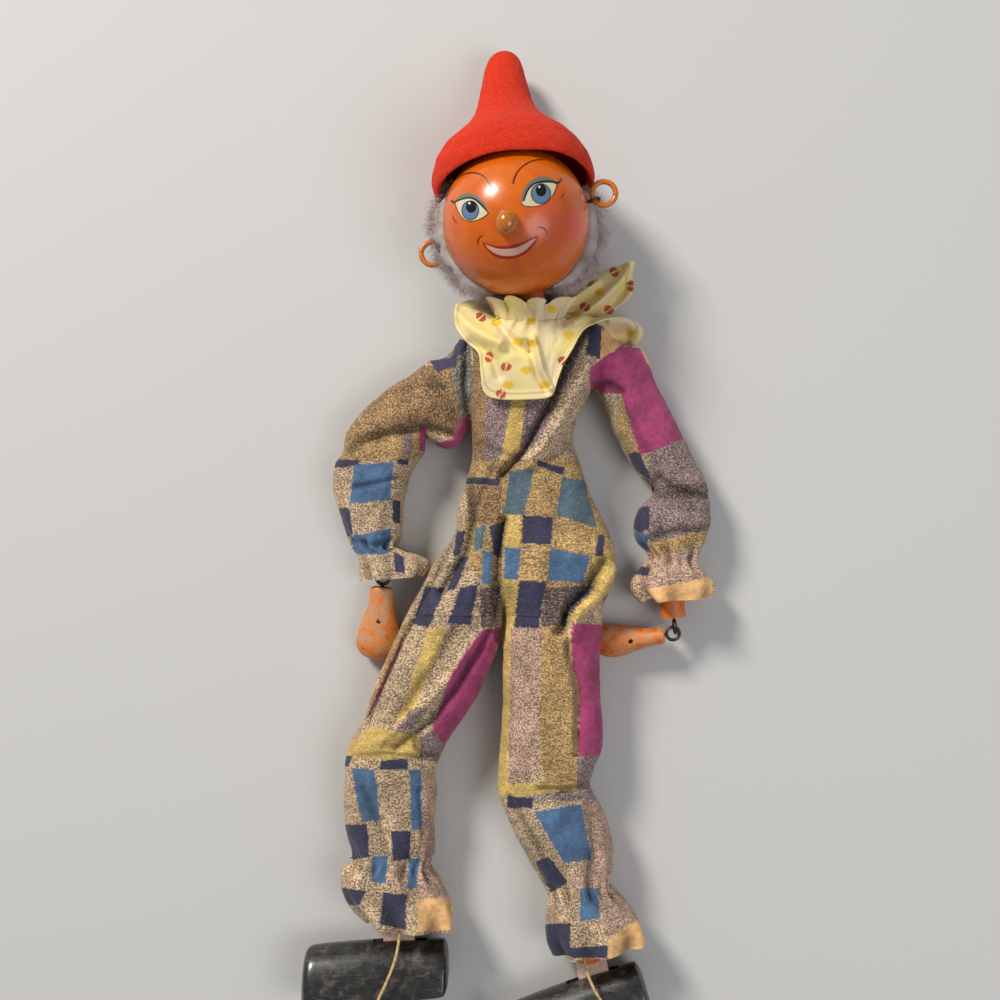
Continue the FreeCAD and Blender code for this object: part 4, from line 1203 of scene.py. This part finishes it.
def trousers():
    tubes = {}
    for side, shape in legShapes.items():
        rows = trouserStations[side]
        ankle = station(rows, shape["gather"])
        gathers = [(ankle, 0.032, 15, 1.0), (ankle, 0.09, 8, 0.8), (1.0, 0.08, 7, 1.6)]
        tube, cut = clothTube(rows, fineness(200), fineness(330), gathers, shape["seed"])
        tubes[side] = tube
        hip = jointSpots["hip_%s_swing" % side]
        knee = jointSpots["knee_" + side]
        spread = jointSpots["hip_%s_spread" % side]
        down = (knee - hip).normalized()
        top = station(rows, photoPoint(hip)[1] - 3)
        above = station(rows, shape["cut"])
        garment("Trousers top " + side, tube, cut, 0, top, (), ("pelvis", "hip_link_" + side),
                (spread - down * 0.006, hip - down * 0.001))
        garment("Trousers thigh " + side, tube, cut, top, above, ("trouser_thigh_" + side,),
                ("hip_link_" + side, "thigh_" + side), (hip - down * 0.001, hip + down * 0.013))
        garment("Trousers leg " + side, tube, cut, above, toTheEnd,
                ("trouser_shin_" + side, "trouser_cuff_" + side),
                ("thigh_" + side, "shin_" + side), (knee - down * 0.011, knee + down * 0.011))
    return tubes


# from where to where along the body its hem is laid on the trousers
hemStart = 0.84
hemLength = 0.15
bodySeed = 3.0
neckGather = [(0.0, 0.05, 11, 0.6)]


def suitBody(tubes):
    trees = [BVHTree.FromBMesh(tube) for tube in tubes.values()]

    def shaping(place, u, v):
        share = min(max((v - hemStart) / hemLength, 0), 1)
        share = share * share * (3 - 2 * share)
        if share == 0:
            return place
        above = math.sin(2 * math.pi * u) >= 0
        heights = []
        for tree in trees:
            origin = Vector((place.x, place.y, 0.1 if above else -0.1))
            hit = tree.ray_cast(origin, Vector((0, 0, -1 if above else 1)))[0]
            if hit:
                heights.append(hit.z)
        if heights:
            target = max(heights) + 0.0003 if above else max(min(heights) - 0.0002, 0.0002)
            place.z += (target - place.z) * share
        return place

    tube, cut = clothTube(bodyStations, fineness(300), fineness(230), neckGather, bodySeed,
                          0.6, shaping)
    waist = jointSpots["waist_bow"]
    half = Vector((0, 0.011, 0))
    garment("Suit body", tube, cut, 0, toTheEnd, ("suit_chest", "suit_hips"),
            ("chest", "pelvis"), (waist + half, waist - half))


# each sleeve's seed, the stations of its wrist gather and lower cut, the way it bends at the
# shoulder, and how far out in mm from the hinge it does
sleeveShapes = {"left": {"seed": 41.0, "gather": 15, "cut": 6.6, "turn": 184.0, "reach": 4.9},
                "right": {"seed": 51.0, "gather": 16, "cut": 8.2, "turn": 323.4, "reach": 0.0}}


def cutAcross(tube, origin, aimed, reach, below):
    # the upper stations are parted by a plane, so that both sides of the cut move alike
    along = tube.verts.layers.float["along"]
    for vertex in tube.verts:
        if vertex[along] < below:
            past = (vertex.co - origin).dot(aimed) - reach
            vertex[along] = min(max(0.5 * below + 15 * past, 0.0), below - 0.001)


def sleeves():
    for side, shape in sleeveShapes.items():
        rows = sleeveStations[side]
        last = len(rows) - 1
        wrist = shape["gather"] / last
        gathers = [(wrist, 0.035, 12, 0.8), (wrist, 0.09, 7, 0.6), (1.0, 0.08, 6, 1.4)]
        tube, cut = clothTube(rows, fineness(170), fineness(230), gathers, shape["seed"])
        swing = jointSpots["shoulder_%s_swing" % side]
        elbow = jointSpots["elbow_" + side]
        out = (elbow - swing).normalized()
        down = (jointSpots["wrist_" + side] - elbow).normalized()
        aimed = flatDirection(shape["turn"])
        middle = swing + aimed * shape["reach"] * mm
        second = shape["cut"] / last
        first = 0.5 * second
        cutAcross(tube, swing, aimed, shape["reach"] * mm, second)
        garment("Sleeve top " + side, tube, cut, 0, first, ("sleeve_upper_" + side,),
                ("chest", "shoulder_link_" + side),
                (middle - aimed * 0.0045, middle - aimed * 0.0005), True)
        garment("Sleeve arm " + side, tube, cut, first, second, (),
                ("shoulder_link_" + side, "upper_arm_" + side),
                (middle + aimed * 0.0005, middle + aimed * 0.0085), True)
        garment("Sleeve " + side, tube, cut, second, toTheEnd,
                ("sleeve_lower_" + side, "sleeve_cuff_" + side),
                ("upper_arm_" + side, "forearm_" + side),
                (elbow - out * 0.008, elbow + down * 0.014))


print("suit")
suitCloth = suitPaint()
suitBody(trousers())
sleeves()


# Collar: a gathered strip of pale yellow cotton with split red ovals and yellow dots

# its free edge in the photograph, with the height in mm, from the left corner over the chest
collarEdge = [
    (456, 304, 15), (454.5, 323, 17.5), (464, 339, 22), (478, 352, 25), (480.5, 372, 26),
    (484, 392, 26), (498, 399, 26), (528, 399.5, 26.5), (551, 396, 26.5), (557, 381, 26.8),
    (563, 365, 26.8), (572, 349, 26.6), (583, 330, 26), (598, 321, 23), (612, 318, 18),
    (626, 318, 13.5), (640, 325, 10), (641, 339, 7), (629, 346, 5), (614, 340, 6.5),
    (607, 327, 10), (614, 311, 14.5), (627, 300, 17), (633, 288, 16.5), (632, 277, 15.5),
    (634, 262, 14.5), (618, 265, 13), (602, 271, 11), (588, 278, 9), (574, 290, 6.5),
    (548, 297, 4.5), (520, 299, 4), (492, 299, 5), (470, 300, 9)]
# middles of the printed spots, the red ones with the turn of their split in degrees
redSpots = [(481, 317, 35), (489, 357, 100), (506, 367, 0), (501, 394, 20), (563, 361, 30),
            (585, 307, 20), (614, 272, 50), (631, 286, 80), (609, 310, 40), (588, 282, 10)]
yellowSpots = [(569, 335), (518, 342), (533, 343), (526, 370), (496, 322), (631, 333),
               (552, 309), (531, 321), (600, 292), (545, 385), (508, 385), (575, 315)]
neckMiddle = (530, 317, 16.5)
# the strip laid flat and its cloth in metres, then half sizes of the spots in pixels
collarShape = {"flat": (0.125, 0.02), "wall": 0.0004, "yellow": (5.2, 3.9), "red": (5.4, 4.4),
               "split": 0.75}
# rolls and hollows of the collar, as for the suit's folds
collarFolds = [
    ([(455, 312), (468, 326), (484, 337), (500, 344)], 6.5, 2.2),
    ([(470, 343), (484, 350), (494, 361), (499, 376)], 4.5, -1.3),
    ([(498, 322), (508, 336), (518, 348), (528, 352)], 4, -1.5),
    ([(508, 324), (520, 336), (530, 340)], 4, 1.0),
    ([(534, 338), (538, 353), (542, 370), (552, 389)], 3, 1.4),
    ([(527, 342), (532, 357), (536, 374), (546, 390)], 3, -1.3),
    ([(550, 322), (564, 308), (580, 294), (596, 284)], 4.5, 1.9),
    ([(561, 322), (577, 309), (598, 295)], 3.5, -1.4),
    ([(576, 322), (600, 301), (618, 284), (631, 266)], 4.5, 1.9),
    ([(592, 320), (614, 302), (629, 284)], 3.5, -1.5),
    ([(610, 322), (626, 322), (638, 331), (632, 341)], 3.5, 1.4),
    ([(614, 333), (627, 332)], 4, -1.3)]
collarBoxes = boxed(collarFolds)


def collarRing(u):
    # the gathered line round the neck, seen nearly edge on
    if u < 0.38:
        turn = math.pi * (1 - u / 0.38)
    elif u < 0.86:
        turn = -(u - 0.38) / 0.48 * math.radians(70)
    else:
        turn = -math.radians(70 + (u - 0.86) / 0.14 * 110)
    x, y, z = neckMiddle
    return atHeight(x + 35 * math.cos(turn), y + 3 * math.sin(turn), (z + 9 * math.sin(turn)) * mm)


def collarRipple(u, v):
    # pleats that are deep at the gathers and die out towards the edge
    phase = 2 * math.pi * 23 * u + 1.5 * noise.noise(Vector((u * 20, 0, 4)))
    deep = (0.75 + 0.35 * noise.noise(Vector((u * 30, 2, 4)))) * math.exp(-v * 5.5)
    slow = 0.7 * v * (1 - 0.5 * v) * noise.noise(Vector((u * 17, v * 2.2, 8.5)))
    fine = 0.16 * noise.noise(Vector((u * 60, v * 9, 1.5)))
    return (deep * math.cos(phase) + slow + fine) * mm


def collarSheet():
    rim = collarEdge + collarEdge[:1]

    def placing(u, v):
        x, y, z = smoothPath(rim, u)
        start = collarRing(u)
        end = atHeight(x, y, z * mm)
        middle = start.lerp(end, v)
        over = math.sin(math.pi * min(v * 1.15, 1)) * (1.6 if u < 0.42 else 0.9)
        px, py = photoPoint(middle)
        spread = min(v * 4, 1)
        middle.z += over * mm + collarRipple(u, v) + foldHeight(px, py, collarBoxes) * spread
        middle.z = max(middle.z, 0.001)
        return middle

    return mapped(fineness(520), fineness(70), placing)


def collarFrill():
    def placing(u, v):
        base = collarRing(u)
        wave = 2 * math.pi * 14 * u + 1.8 * noise.noise(Vector((u * 15, 3, 2)))
        x, y, z = neckMiddle
        out = base - atHeight(x, y, z * mm)
        out.y = 0
        out.normalize()
        tall = 5.6 + 1.1 * noise.noise(Vector((u * 40, 1, 7))) + 0.7 * math.cos(wave)
        rise = out * (1.8 * v + 2.3 * v * math.cos(wave)) * mm
        lean = Vector((math.sin(wave) * 1.5 * v, tall * math.sin(v * 1.45), 0)) * mm
        back = base + rise + lean
        back.z += collarRipple(u, 0) * (1 - v)
        back.z = max(back.z, 0.0008)
        return back

    return mapped(fineness(520), fineness(24), placing)


def collarColour(px, py, v):
    fade = 1 + 0.06 * noise.noise(Vector((px * 0.05, py * 0.05, 2)))
    pale = 0.5 + 1.1 * noise.noise(Vector((px * 0.03, py * 0.03, 8)))
    pale = min(max(pale, 0), 1)
    shade = [(238 - 8 * pale) * fade, (218 - 8 * pale) * fade, (138 + 34 * pale) * fade]
    # a darker line of stitches along the hem
    if 0.905 < v < 0.93:
        shade = [channel * 0.86 for channel in shade]
    wide, tall = collarShape["yellow"]
    for x, y in yellowSpots:
        away = math.hypot((px - x) / wide, (py - y) / tall)
        away += 0.25 * noise.noise(Vector((px * 0.5, py * 0.5, 5)))
        if away < 1:
            shade = [228, 190, 44]
    wide, tall = collarShape["red"]
    for x, y, turn in redSpots:
        lean = math.radians(turn)
        side = (px - x) * math.cos(lean) + (py - y) * math.sin(lean)
        rise = -(px - x) * math.sin(lean) + (py - y) * math.cos(lean)
        whole = abs(side + rise * 0.25) > collarShape["split"]
        if whole and math.hypot(side / wide, rise / tall) < 1:
            shade = [178, 58, 42]
    return (*tone(*shade)[:3], 1)


def collarPaint():
    made = Finish("Pale yellow cotton", 0.85, Sheen_Weight=0.1)
    base = made.add("VertexColor", layer_name="print")
    uneven = made.noise(500, 4, 0.6)
    aged = made.blend(made.sum("MULTIPLY", uneven, 0.35), base, tone(214, 176, 110))
    made.colour(made.blend(0.6, aged, base))
    weave = made.noise(5200, 2, 0.5)
    made.bump(made.sum("ADD", weave, made.sum("MULTIPLY", uneven, 0.6)), 0.0001, 0.4)
    return made.material


def collarPiece(name, bm, middle, paint, hemmed):
    # a sheet of the collar, its print set from each point's place in the photograph
    uvs = bm.loops.layers.uv.active
    places = {}
    for face in bm.faces:
        for loop in face.loops:
            places.setdefault(loop.vert.index, loop[uvs].uv[1])
    downs = [places[vertex.index] for vertex in bm.verts]
    piece = finishMesh(outwards(bm, middle), name)
    values = []
    for vertex, v in zip(piece.data.vertices, downs):
        values.extend(collarColour(*photoPoint(vertex.co), v if hemmed else 0.5))
    colours = piece.data.color_attributes.new("print", "FLOAT_COLOR", "POINT")
    colours.data.foreach_set("color", values)
    addFinish(piece, "SOLIDIFY", thickness=collarShape["wall"], offset=-1.0)
    dress(piece, paint, "chest", ("collar",))
    return piece


def collar():
    paint = collarPaint()
    middle = collarRing(0.19) - Vector((0, 0.004, 0.02))
    cloth = collarPiece("Collar cloth", collarSheet(), middle, paint, True)
    frill = collarPiece("Collar frill", collarFrill(), middle, paint, False)


# Hands: worn painted clubs on screw eyes

def handPaint():
    made = Finish("Worn orange paint on the hands", 0.5)
    rubbed = made.noise(260, 6, 0.68)
    fine = made.noise(1600, 5, 0.7)
    base = made.ramp(rubbed, (0.36, tone(204, 104, 38)), (0.48, tone(222, 132, 62)),
                     (0.57, tone(200, 146, 104)), (0.7, tone(178, 150, 124)))
    dirt = made.ramp(fine, (0.54, 0.0), (0.66, 0.75))
    made.colour(made.blend(dirt, base, tone(138, 80, 44)))
    made.bump(made.sum("ADD", rubbed, made.sum("MULTIPLY", fine, 0.4)), 0.00025, 0.6)
    return made.material


# which way each hand points, its width and thickness, how far in mm its end bends sideways,
# and the seed of its lumps. The right one lies on edge
handShapes = {
    "left": {"turn": 265.3, "wide": 1.0, "thick": 1.0, "bend": 0.0, "seed": 9},
    "right": {"turn": 189.8, "wide": 0.74, "thick": 1.04, "bend": 1.4, "seed": 0}}
# distance, half width and half height in mm down a hand
handStations = [(-0.001, 0.0, 0.0), (0, 2.2, 2.2), (0.1, 3.1, 3.1), (0.9, 3.7, 3.7),
                (3.5, 3.9, 3.8), (7, 4.4, 3.9), (10, 5.3, 4.1), (13, 6.4, 4.35),
                (16, 7.1, 4.6), (18.6, 7.25, 4.7), (20.8, 6.7, 4.4), (22.6, 5.3, 3.6),
                (23.7, 3.2, 2.3), (24.1, 1.2, 1.0), (24.15, 0, 0)]
# in metres, from the wrist to the hand's face, and from there to its hole
handGap = 0.00385
handHole = {"far": 0.01104, "radius": 0.0008, "half": 0.012}


def cutHole(piece, cutter):
    # one real hole: the cutter is taken out of the mesh, then thrown away
    extra = piece.modifiers.new("Hole", "BOOLEAN")
    extra.object = cutter
    extra.operation = "DIFFERENCE"
    extra.solver = "EXACT"
    bpy.context.view_layer.update()
    shape = piece.evaluated_get(bpy.context.evaluated_depsgraph_get())
    mesh = bpy.data.meshes.new_from_object(shape)
    piece.modifiers.remove(extra)
    piece.data = mesh
    bpy.data.objects.remove(cutter)
    for polygon in mesh.polygons:
        polygon.use_smooth = True


def handMesh(shape, face, along):
    wide = across(along)

    def placing(u, v):
        distance, half, tall = smoothPath(handStations, v)
        half *= shape["wide"]
        tall *= shape["thick"]
        distance *= 0.5 + 0.5 * shape["wide"] ** 0.4
        turn = 2 * math.pi * u
        lump = 1 + 0.035 * noise.noise(Vector((math.cos(turn), math.sin(turn),
                                               distance / 6 + shape["seed"])))
        return (face + along * distance * mm - upward * 4.33 * mm * distance / 24
                + wide * shape["bend"] * mm * (distance / 24) ** 2
                + wide * math.cos(turn) * max(half, 0) * lump * mm
                + upward * math.sin(turn) * max(tall, 0) * lump * mm)

    return outwards(mapped(48, 70, placing), face + along * 0.012)


def hands():
    paint = handPaint()
    for side, shape in handShapes.items():
        along = flatDirection(shape["turn"])
        face = jointSpots["wrist_" + side] + along * handGap
        piece = finishMesh(handMesh(shape, face, along), "Painted hand " + side)
        hole = bmesh.new()
        middle = face + along * handHole["far"]
        half = upward * handHole["half"]
        addRod(hole, middle - half, middle + half, handHole["radius"], segments=24)
        cutHole(piece, finishMesh(hole, "Cutter"))
        dress(piece, paint, "hand_" + side, ("hand_" + side,))
        eye = screwEye(face, -along, upward)
        dress(finishMesh(eye, "Screw eye of hand " + side), steel(), "hand_" + side,
              ("hand_eye_" + side,))


print("collar and hands")
collar()
hands()


# Feet: black half-round shoes, hung by leather tongues

shoeTurn = {"left": 180.0, "right": 196.0}
# distance along the toe, top above the ankle's nail, height and width in mm down a shoe
shoeStations = [(-15.6, -3, 0, 0), (-15.5, 2.0, 8.5, 10.5), (-14.6, 5.2, 14.2, 15.6),
                (-13, 6.0, 15.9, 17.1), (-6, 6.1, 16.8, 17.6), (2, 6.0, 17.6, 18.0),
                (10, 5.6, 18.6, 18.7), (18, 5.0, 19.6, 19.4), (25, 4.3, 20.4, 19.9),
                (28.6, 3.7, 20.4, 19.8), (30.2, 2.1, 17.6, 17.4), (30.9, -1.2, 11.5, 12.0),
                (31.0, -6.5, 0, 0)]
# shares of the height and the width round a shoe: rounded above, flat below
shoeProfile = [(0.02, 0.5), (0.0, 0.12), (0.03, 0.02), (0.16, 0.0), (0.48, 0.03),
               (0.78, 0.16), (0.95, 0.34), (1.0, 0.5), (0.95, 0.66), (0.78, 0.84),
               (0.48, 0.97), (0.16, 1.0), (0.03, 0.98), (0.0, 0.88), (0.02, 0.5)]
# in metres: the middle line above the floor, and the slot for the leather tongue
shoeMiddle = 0.010
shoeSlot = {"size": (0.017, 0.0216, 0.0026), "rise": 0.0042}


def shoePaint():
    made = Finish("Worn black gloss on the shoes", 0.3, Coat_Weight=0.5, Coat_Roughness=0.15)
    worn = made.noise(160, 6, 0.7)
    scratches = made.noise(900, 3, 0.6, vector=made.stretch((0.25, 1.6, 1)))
    base = made.ramp(worn, (0.35, tone(18, 17, 16)), (0.54, tone(38, 36, 33)),
                     (0.66, tone(92, 84, 72)))
    made.colour(made.blend(made.ramp(scratches, (0.58, 0.0), (0.7, 0.6)), base,
                           tone(96, 88, 76)))
    made.rough(made.ramp(worn, (0.3, 0.2), (0.7, 0.5)))
    made.bump(made.sum("ADD", worn, made.sum("MULTIPLY", scratches, 0.5)), 0.0002, 0.4)
    return made.material


def shoeMesh(ankle, toe):
    rise = across(toe)
    middle = Vector((ankle.x, ankle.y, shoeMiddle))

    def placing(u, v):
        reach, top, tall, wide = smoothPath(shoeStations, v)
        up, out = smoothPath(shoeProfile, u)
        spotted = middle + upward * (out - 0.5) * max(wide, 0) * mm
        spotted.z = max(spotted.z, 0.0002)
        lump = 0.12 * noise.noise(Vector((reach * 0.1, up * 2, out * 2)))
        return spotted + toe * reach * mm + rise * (top - max(tall, 0) * (1 - up) + lump) * mm

    return outwards(mapped(72, 90, placing), middle + toe * 0.008)


def shoes():
    paint = shoePaint()
    for side in sideNames:
        ankle = jointSpots["ankle_" + side]
        toe = flatDirection(shoeTurn[side])
        piece = finishMesh(shoeMesh(ankle, toe), "Black shoe " + side)
        slot = bmesh.new()
        place = Matrix.Translation(ankle + across(toe) * shoeSlot["rise"])
        turned = Matrix.Rotation(math.radians(shoeTurn[side]), 4, "Z")
        sized = Matrix.Diagonal((*shoeSlot["size"], 1))
        bmesh.ops.create_cube(slot, size=1.0, matrix=place @ turned @ sized)
        cutHole(piece, finishMesh(slot, "Cutter"))
        addFinish(piece, "WEIGHTED_NORMAL", keep_sharp=True, weight=60)
        dress(piece, paint, "foot_" + side, ("shoe_" + side,))


def twinePaint():
    made = Finish("Beige twine", 0.9)
    strands = made.noise(900, 2, 0.5)
    made.colour(made.ramp(strands, (0.3, tone(176, 140, 92)), (0.6, tone(214, 182, 130))))
    made.bump(strands, 0.0002, 0.8)
    return made.material


# each cord: the shin's direction, the cord's length in metres, and its points in mm,
# back from the ankle, out to the side and above the floor
twineShapes = {
    "left": {"turn": 273.6, "length": 0.0359, "points": [
        (21.6, 0.3, 12.6), (20.6, 0.2, 16.6), (14.5, -1.6, 18.0), (6.0, -0.5, 21.2),
        (-1.5, 2.6, 21.5), (-9.0, 6.8, 21.3)]},
    "right": {"turn": 281.9, "length": 0.0341, "points": [
        (20.8, 0.5, 12.4), (19.6, 0.4, 16.6), (13.0, 2.4, 18.0), (5.0, 0.8, 21.2),
        (-2.5, -2.4, 21.5), (-9.0, -2.0, 21.3)]}}
twineDiameter = 0.0009


def curveThrough(name, route, diameter):
    # a smooth round cord through the points
    line = bpy.data.curves.new(name, "CURVE")
    line.dimensions = "3D"
    line.bevel_depth = diameter / 2
    line.bevel_resolution = 4
    line.resolution_u = 24
    line.use_fill_caps = True
    spline = line.splines.new("NURBS")
    spline.points.add(len(route) - 1)
    for point, place in zip(spline.points, route):
        point.co = (*place, 1)
    spline.order_u = 3
    spline.use_endpoint_u = True
    piece = bpy.data.objects.new(name, line)
    bpy.context.scene.collection.objects.link(piece)
    return piece


def twine():
    paint = twinePaint()
    for side, shape in twineShapes.items():
        ankle = jointSpots["ankle_" + side]
        along = flatDirection(shape["turn"])
        route = []
        for back, out, height in shape["points"]:
            place = ankle - along * back * mm + across(along) * out * mm
            place.z = height * mm
            route.append(place)
        piece = curveThrough("twine_" + side, route, twineDiameter)
        dress(piece, paint, "shin_" + side, ("foot_twine_" + side,))


# Wood, leather and steel that the frame's own solids show

def rawWood():
    made = Finish("Bare turned wood", 0.65)
    grain = made.noise(400, 5, 0.6, vector=made.stretch((1, 0.12, 1)))
    made.colour(made.ramp(grain, (0.3, tone(160, 122, 80)), (0.6, tone(204, 168, 118)),
                          (0.8, tone(176, 136, 90))))
    made.bump(grain, 0.0001, 0.4)
    return made.material


def limbPaint():
    made = Finish("Worn orange paint on the limbs", 0.45)
    worn = made.noise(420, 6, 0.7)
    made.colour(made.ramp(worn, (0.3, tone(196, 84, 26)), (0.5, tone(224, 118, 48)),
                          (0.66, tone(204, 126, 76)), (0.8, tone(170, 96, 52))))
    made.bump(worn, 0.00015, 0.5)
    return made.material


def leather():
    made = Finish("Pale leather", 0.7)
    grain = made.noise(900, 5, 0.6)
    made.colour(made.ramp(grain, (0.3, tone(176, 140, 118)), (0.7, tone(212, 184, 164))))
    made.bump(grain, 0.0002, 0.6)
    return made.material


def frameSolids():
    wood = rawWood()
    paint = limbPaint()
    hide = leather()
    wire = steel()
    solids = {"chest_block": wood, "pelvis_block": wood, "chest_screw_eyes": wire,
              "pelvis_screw_eyes": wire, "neck_link": wire}
    for side in sideNames:
        solids.update({
            "upper_arm_" + side: wood, "forearm_" + side: paint, "thigh_" + side: wood,
            "shin_" + side: paint, "ankle_tongue_" + side: hide, "ankle_pin_" + side: wire,
            "knee_eye_" + side: wire, "upper_arm_eyes_" + side: wire,
            "forearm_eyes_" + side: wire, "thigh_eyes_" + side: wire,
            "shoulder_link_" + side: wire, "hip_link_" + side: wire})
    for name, look in solids.items():
        solid = frame["nodes"][name]
        solid.data.materials.clear()
        solid.data.materials.append(look)


print("feet")
shoes()
twine()
frameSolids()


# The stage: a plain pale floor, soft light mostly from beyond the head, and the camera

# a little below nothing, so that no underside lies in the floor's own plane
floorLevel = -0.0002
# what one lamp or the room gives: place and aim, power in watts, width in metres, colour
lamps = {
    "Window": {"place": (-0.78, 0.92, 0.84), "aim": (0, 0.02, 0), "power": 20.0, "size": 0.36,
               "colour": (1.0, 0.97, 0.92)},
    "Fill": {"place": (0.5, -0.2, 0.8), "aim": (0, 0, 0), "power": 2.6, "size": 0.6,
             "colour": (0.95, 0.97, 1.0)}}
room = {"colour": (0.9, 0.93, 1.0, 1), "strength": 0.3}
# in millimetres, the pair that sees the photograph's view
lensShape = {"sensor": 36, "focal": 43.63}


def stageSet():
    made = Finish("Pale floor", 0.8)
    made.colour(tone(204, 202, 198))
    bm = bmesh.new()
    bmesh.ops.create_grid(bm, x_segments=1, y_segments=1, size=3.0)
    bmesh.ops.translate(bm, verts=bm.verts, vec=(0, 0, floorLevel))
    floor = finishMesh(bm, "Floor", False)
    floor.data.materials.append(made.material)


def areaLight(name, lamp):
    light = bpy.data.lights.new(name, "AREA")
    light.shape = "DISK"
    light.size = lamp["size"]
    light.energy = lamp["power"]
    light.color = lamp["colour"]
    holder = bpy.data.objects.new(name, light)
    holder.location = lamp["place"]
    aimed = Vector(lamp["aim"]) - Vector(lamp["place"])
    holder.rotation_euler = aimed.to_track_quat("-Z", "Y").to_euler()
    bpy.context.scene.collection.objects.link(holder)


def lights():
    world = bpy.data.worlds.new("Soft room")
    world.use_nodes = True
    background = world.node_tree.nodes["Background"]
    background.inputs[0].default_value = room["colour"]
    background.inputs[1].default_value = room["strength"]
    bpy.context.scene.world = world
    for name, lamp in lamps.items():
        areaLight(name, lamp)


def cameraAtThePhoto():
    lens = bpy.data.cameras.new("Camera")
    lens.sensor_width = lensShape["sensor"]
    lens.lens = lensShape["focal"]
    lens.clip_start = 0.01
    lens.clip_end = 20
    holder = bpy.data.objects.new("Camera", lens)
    holder.location = camera
    bpy.context.scene.collection.objects.link(holder)
    bpy.context.scene.camera = holder


stageSet()
lights()
cameraAtThePhoto()
bpy.context.scene.view_settings.view_transform = "Standard"
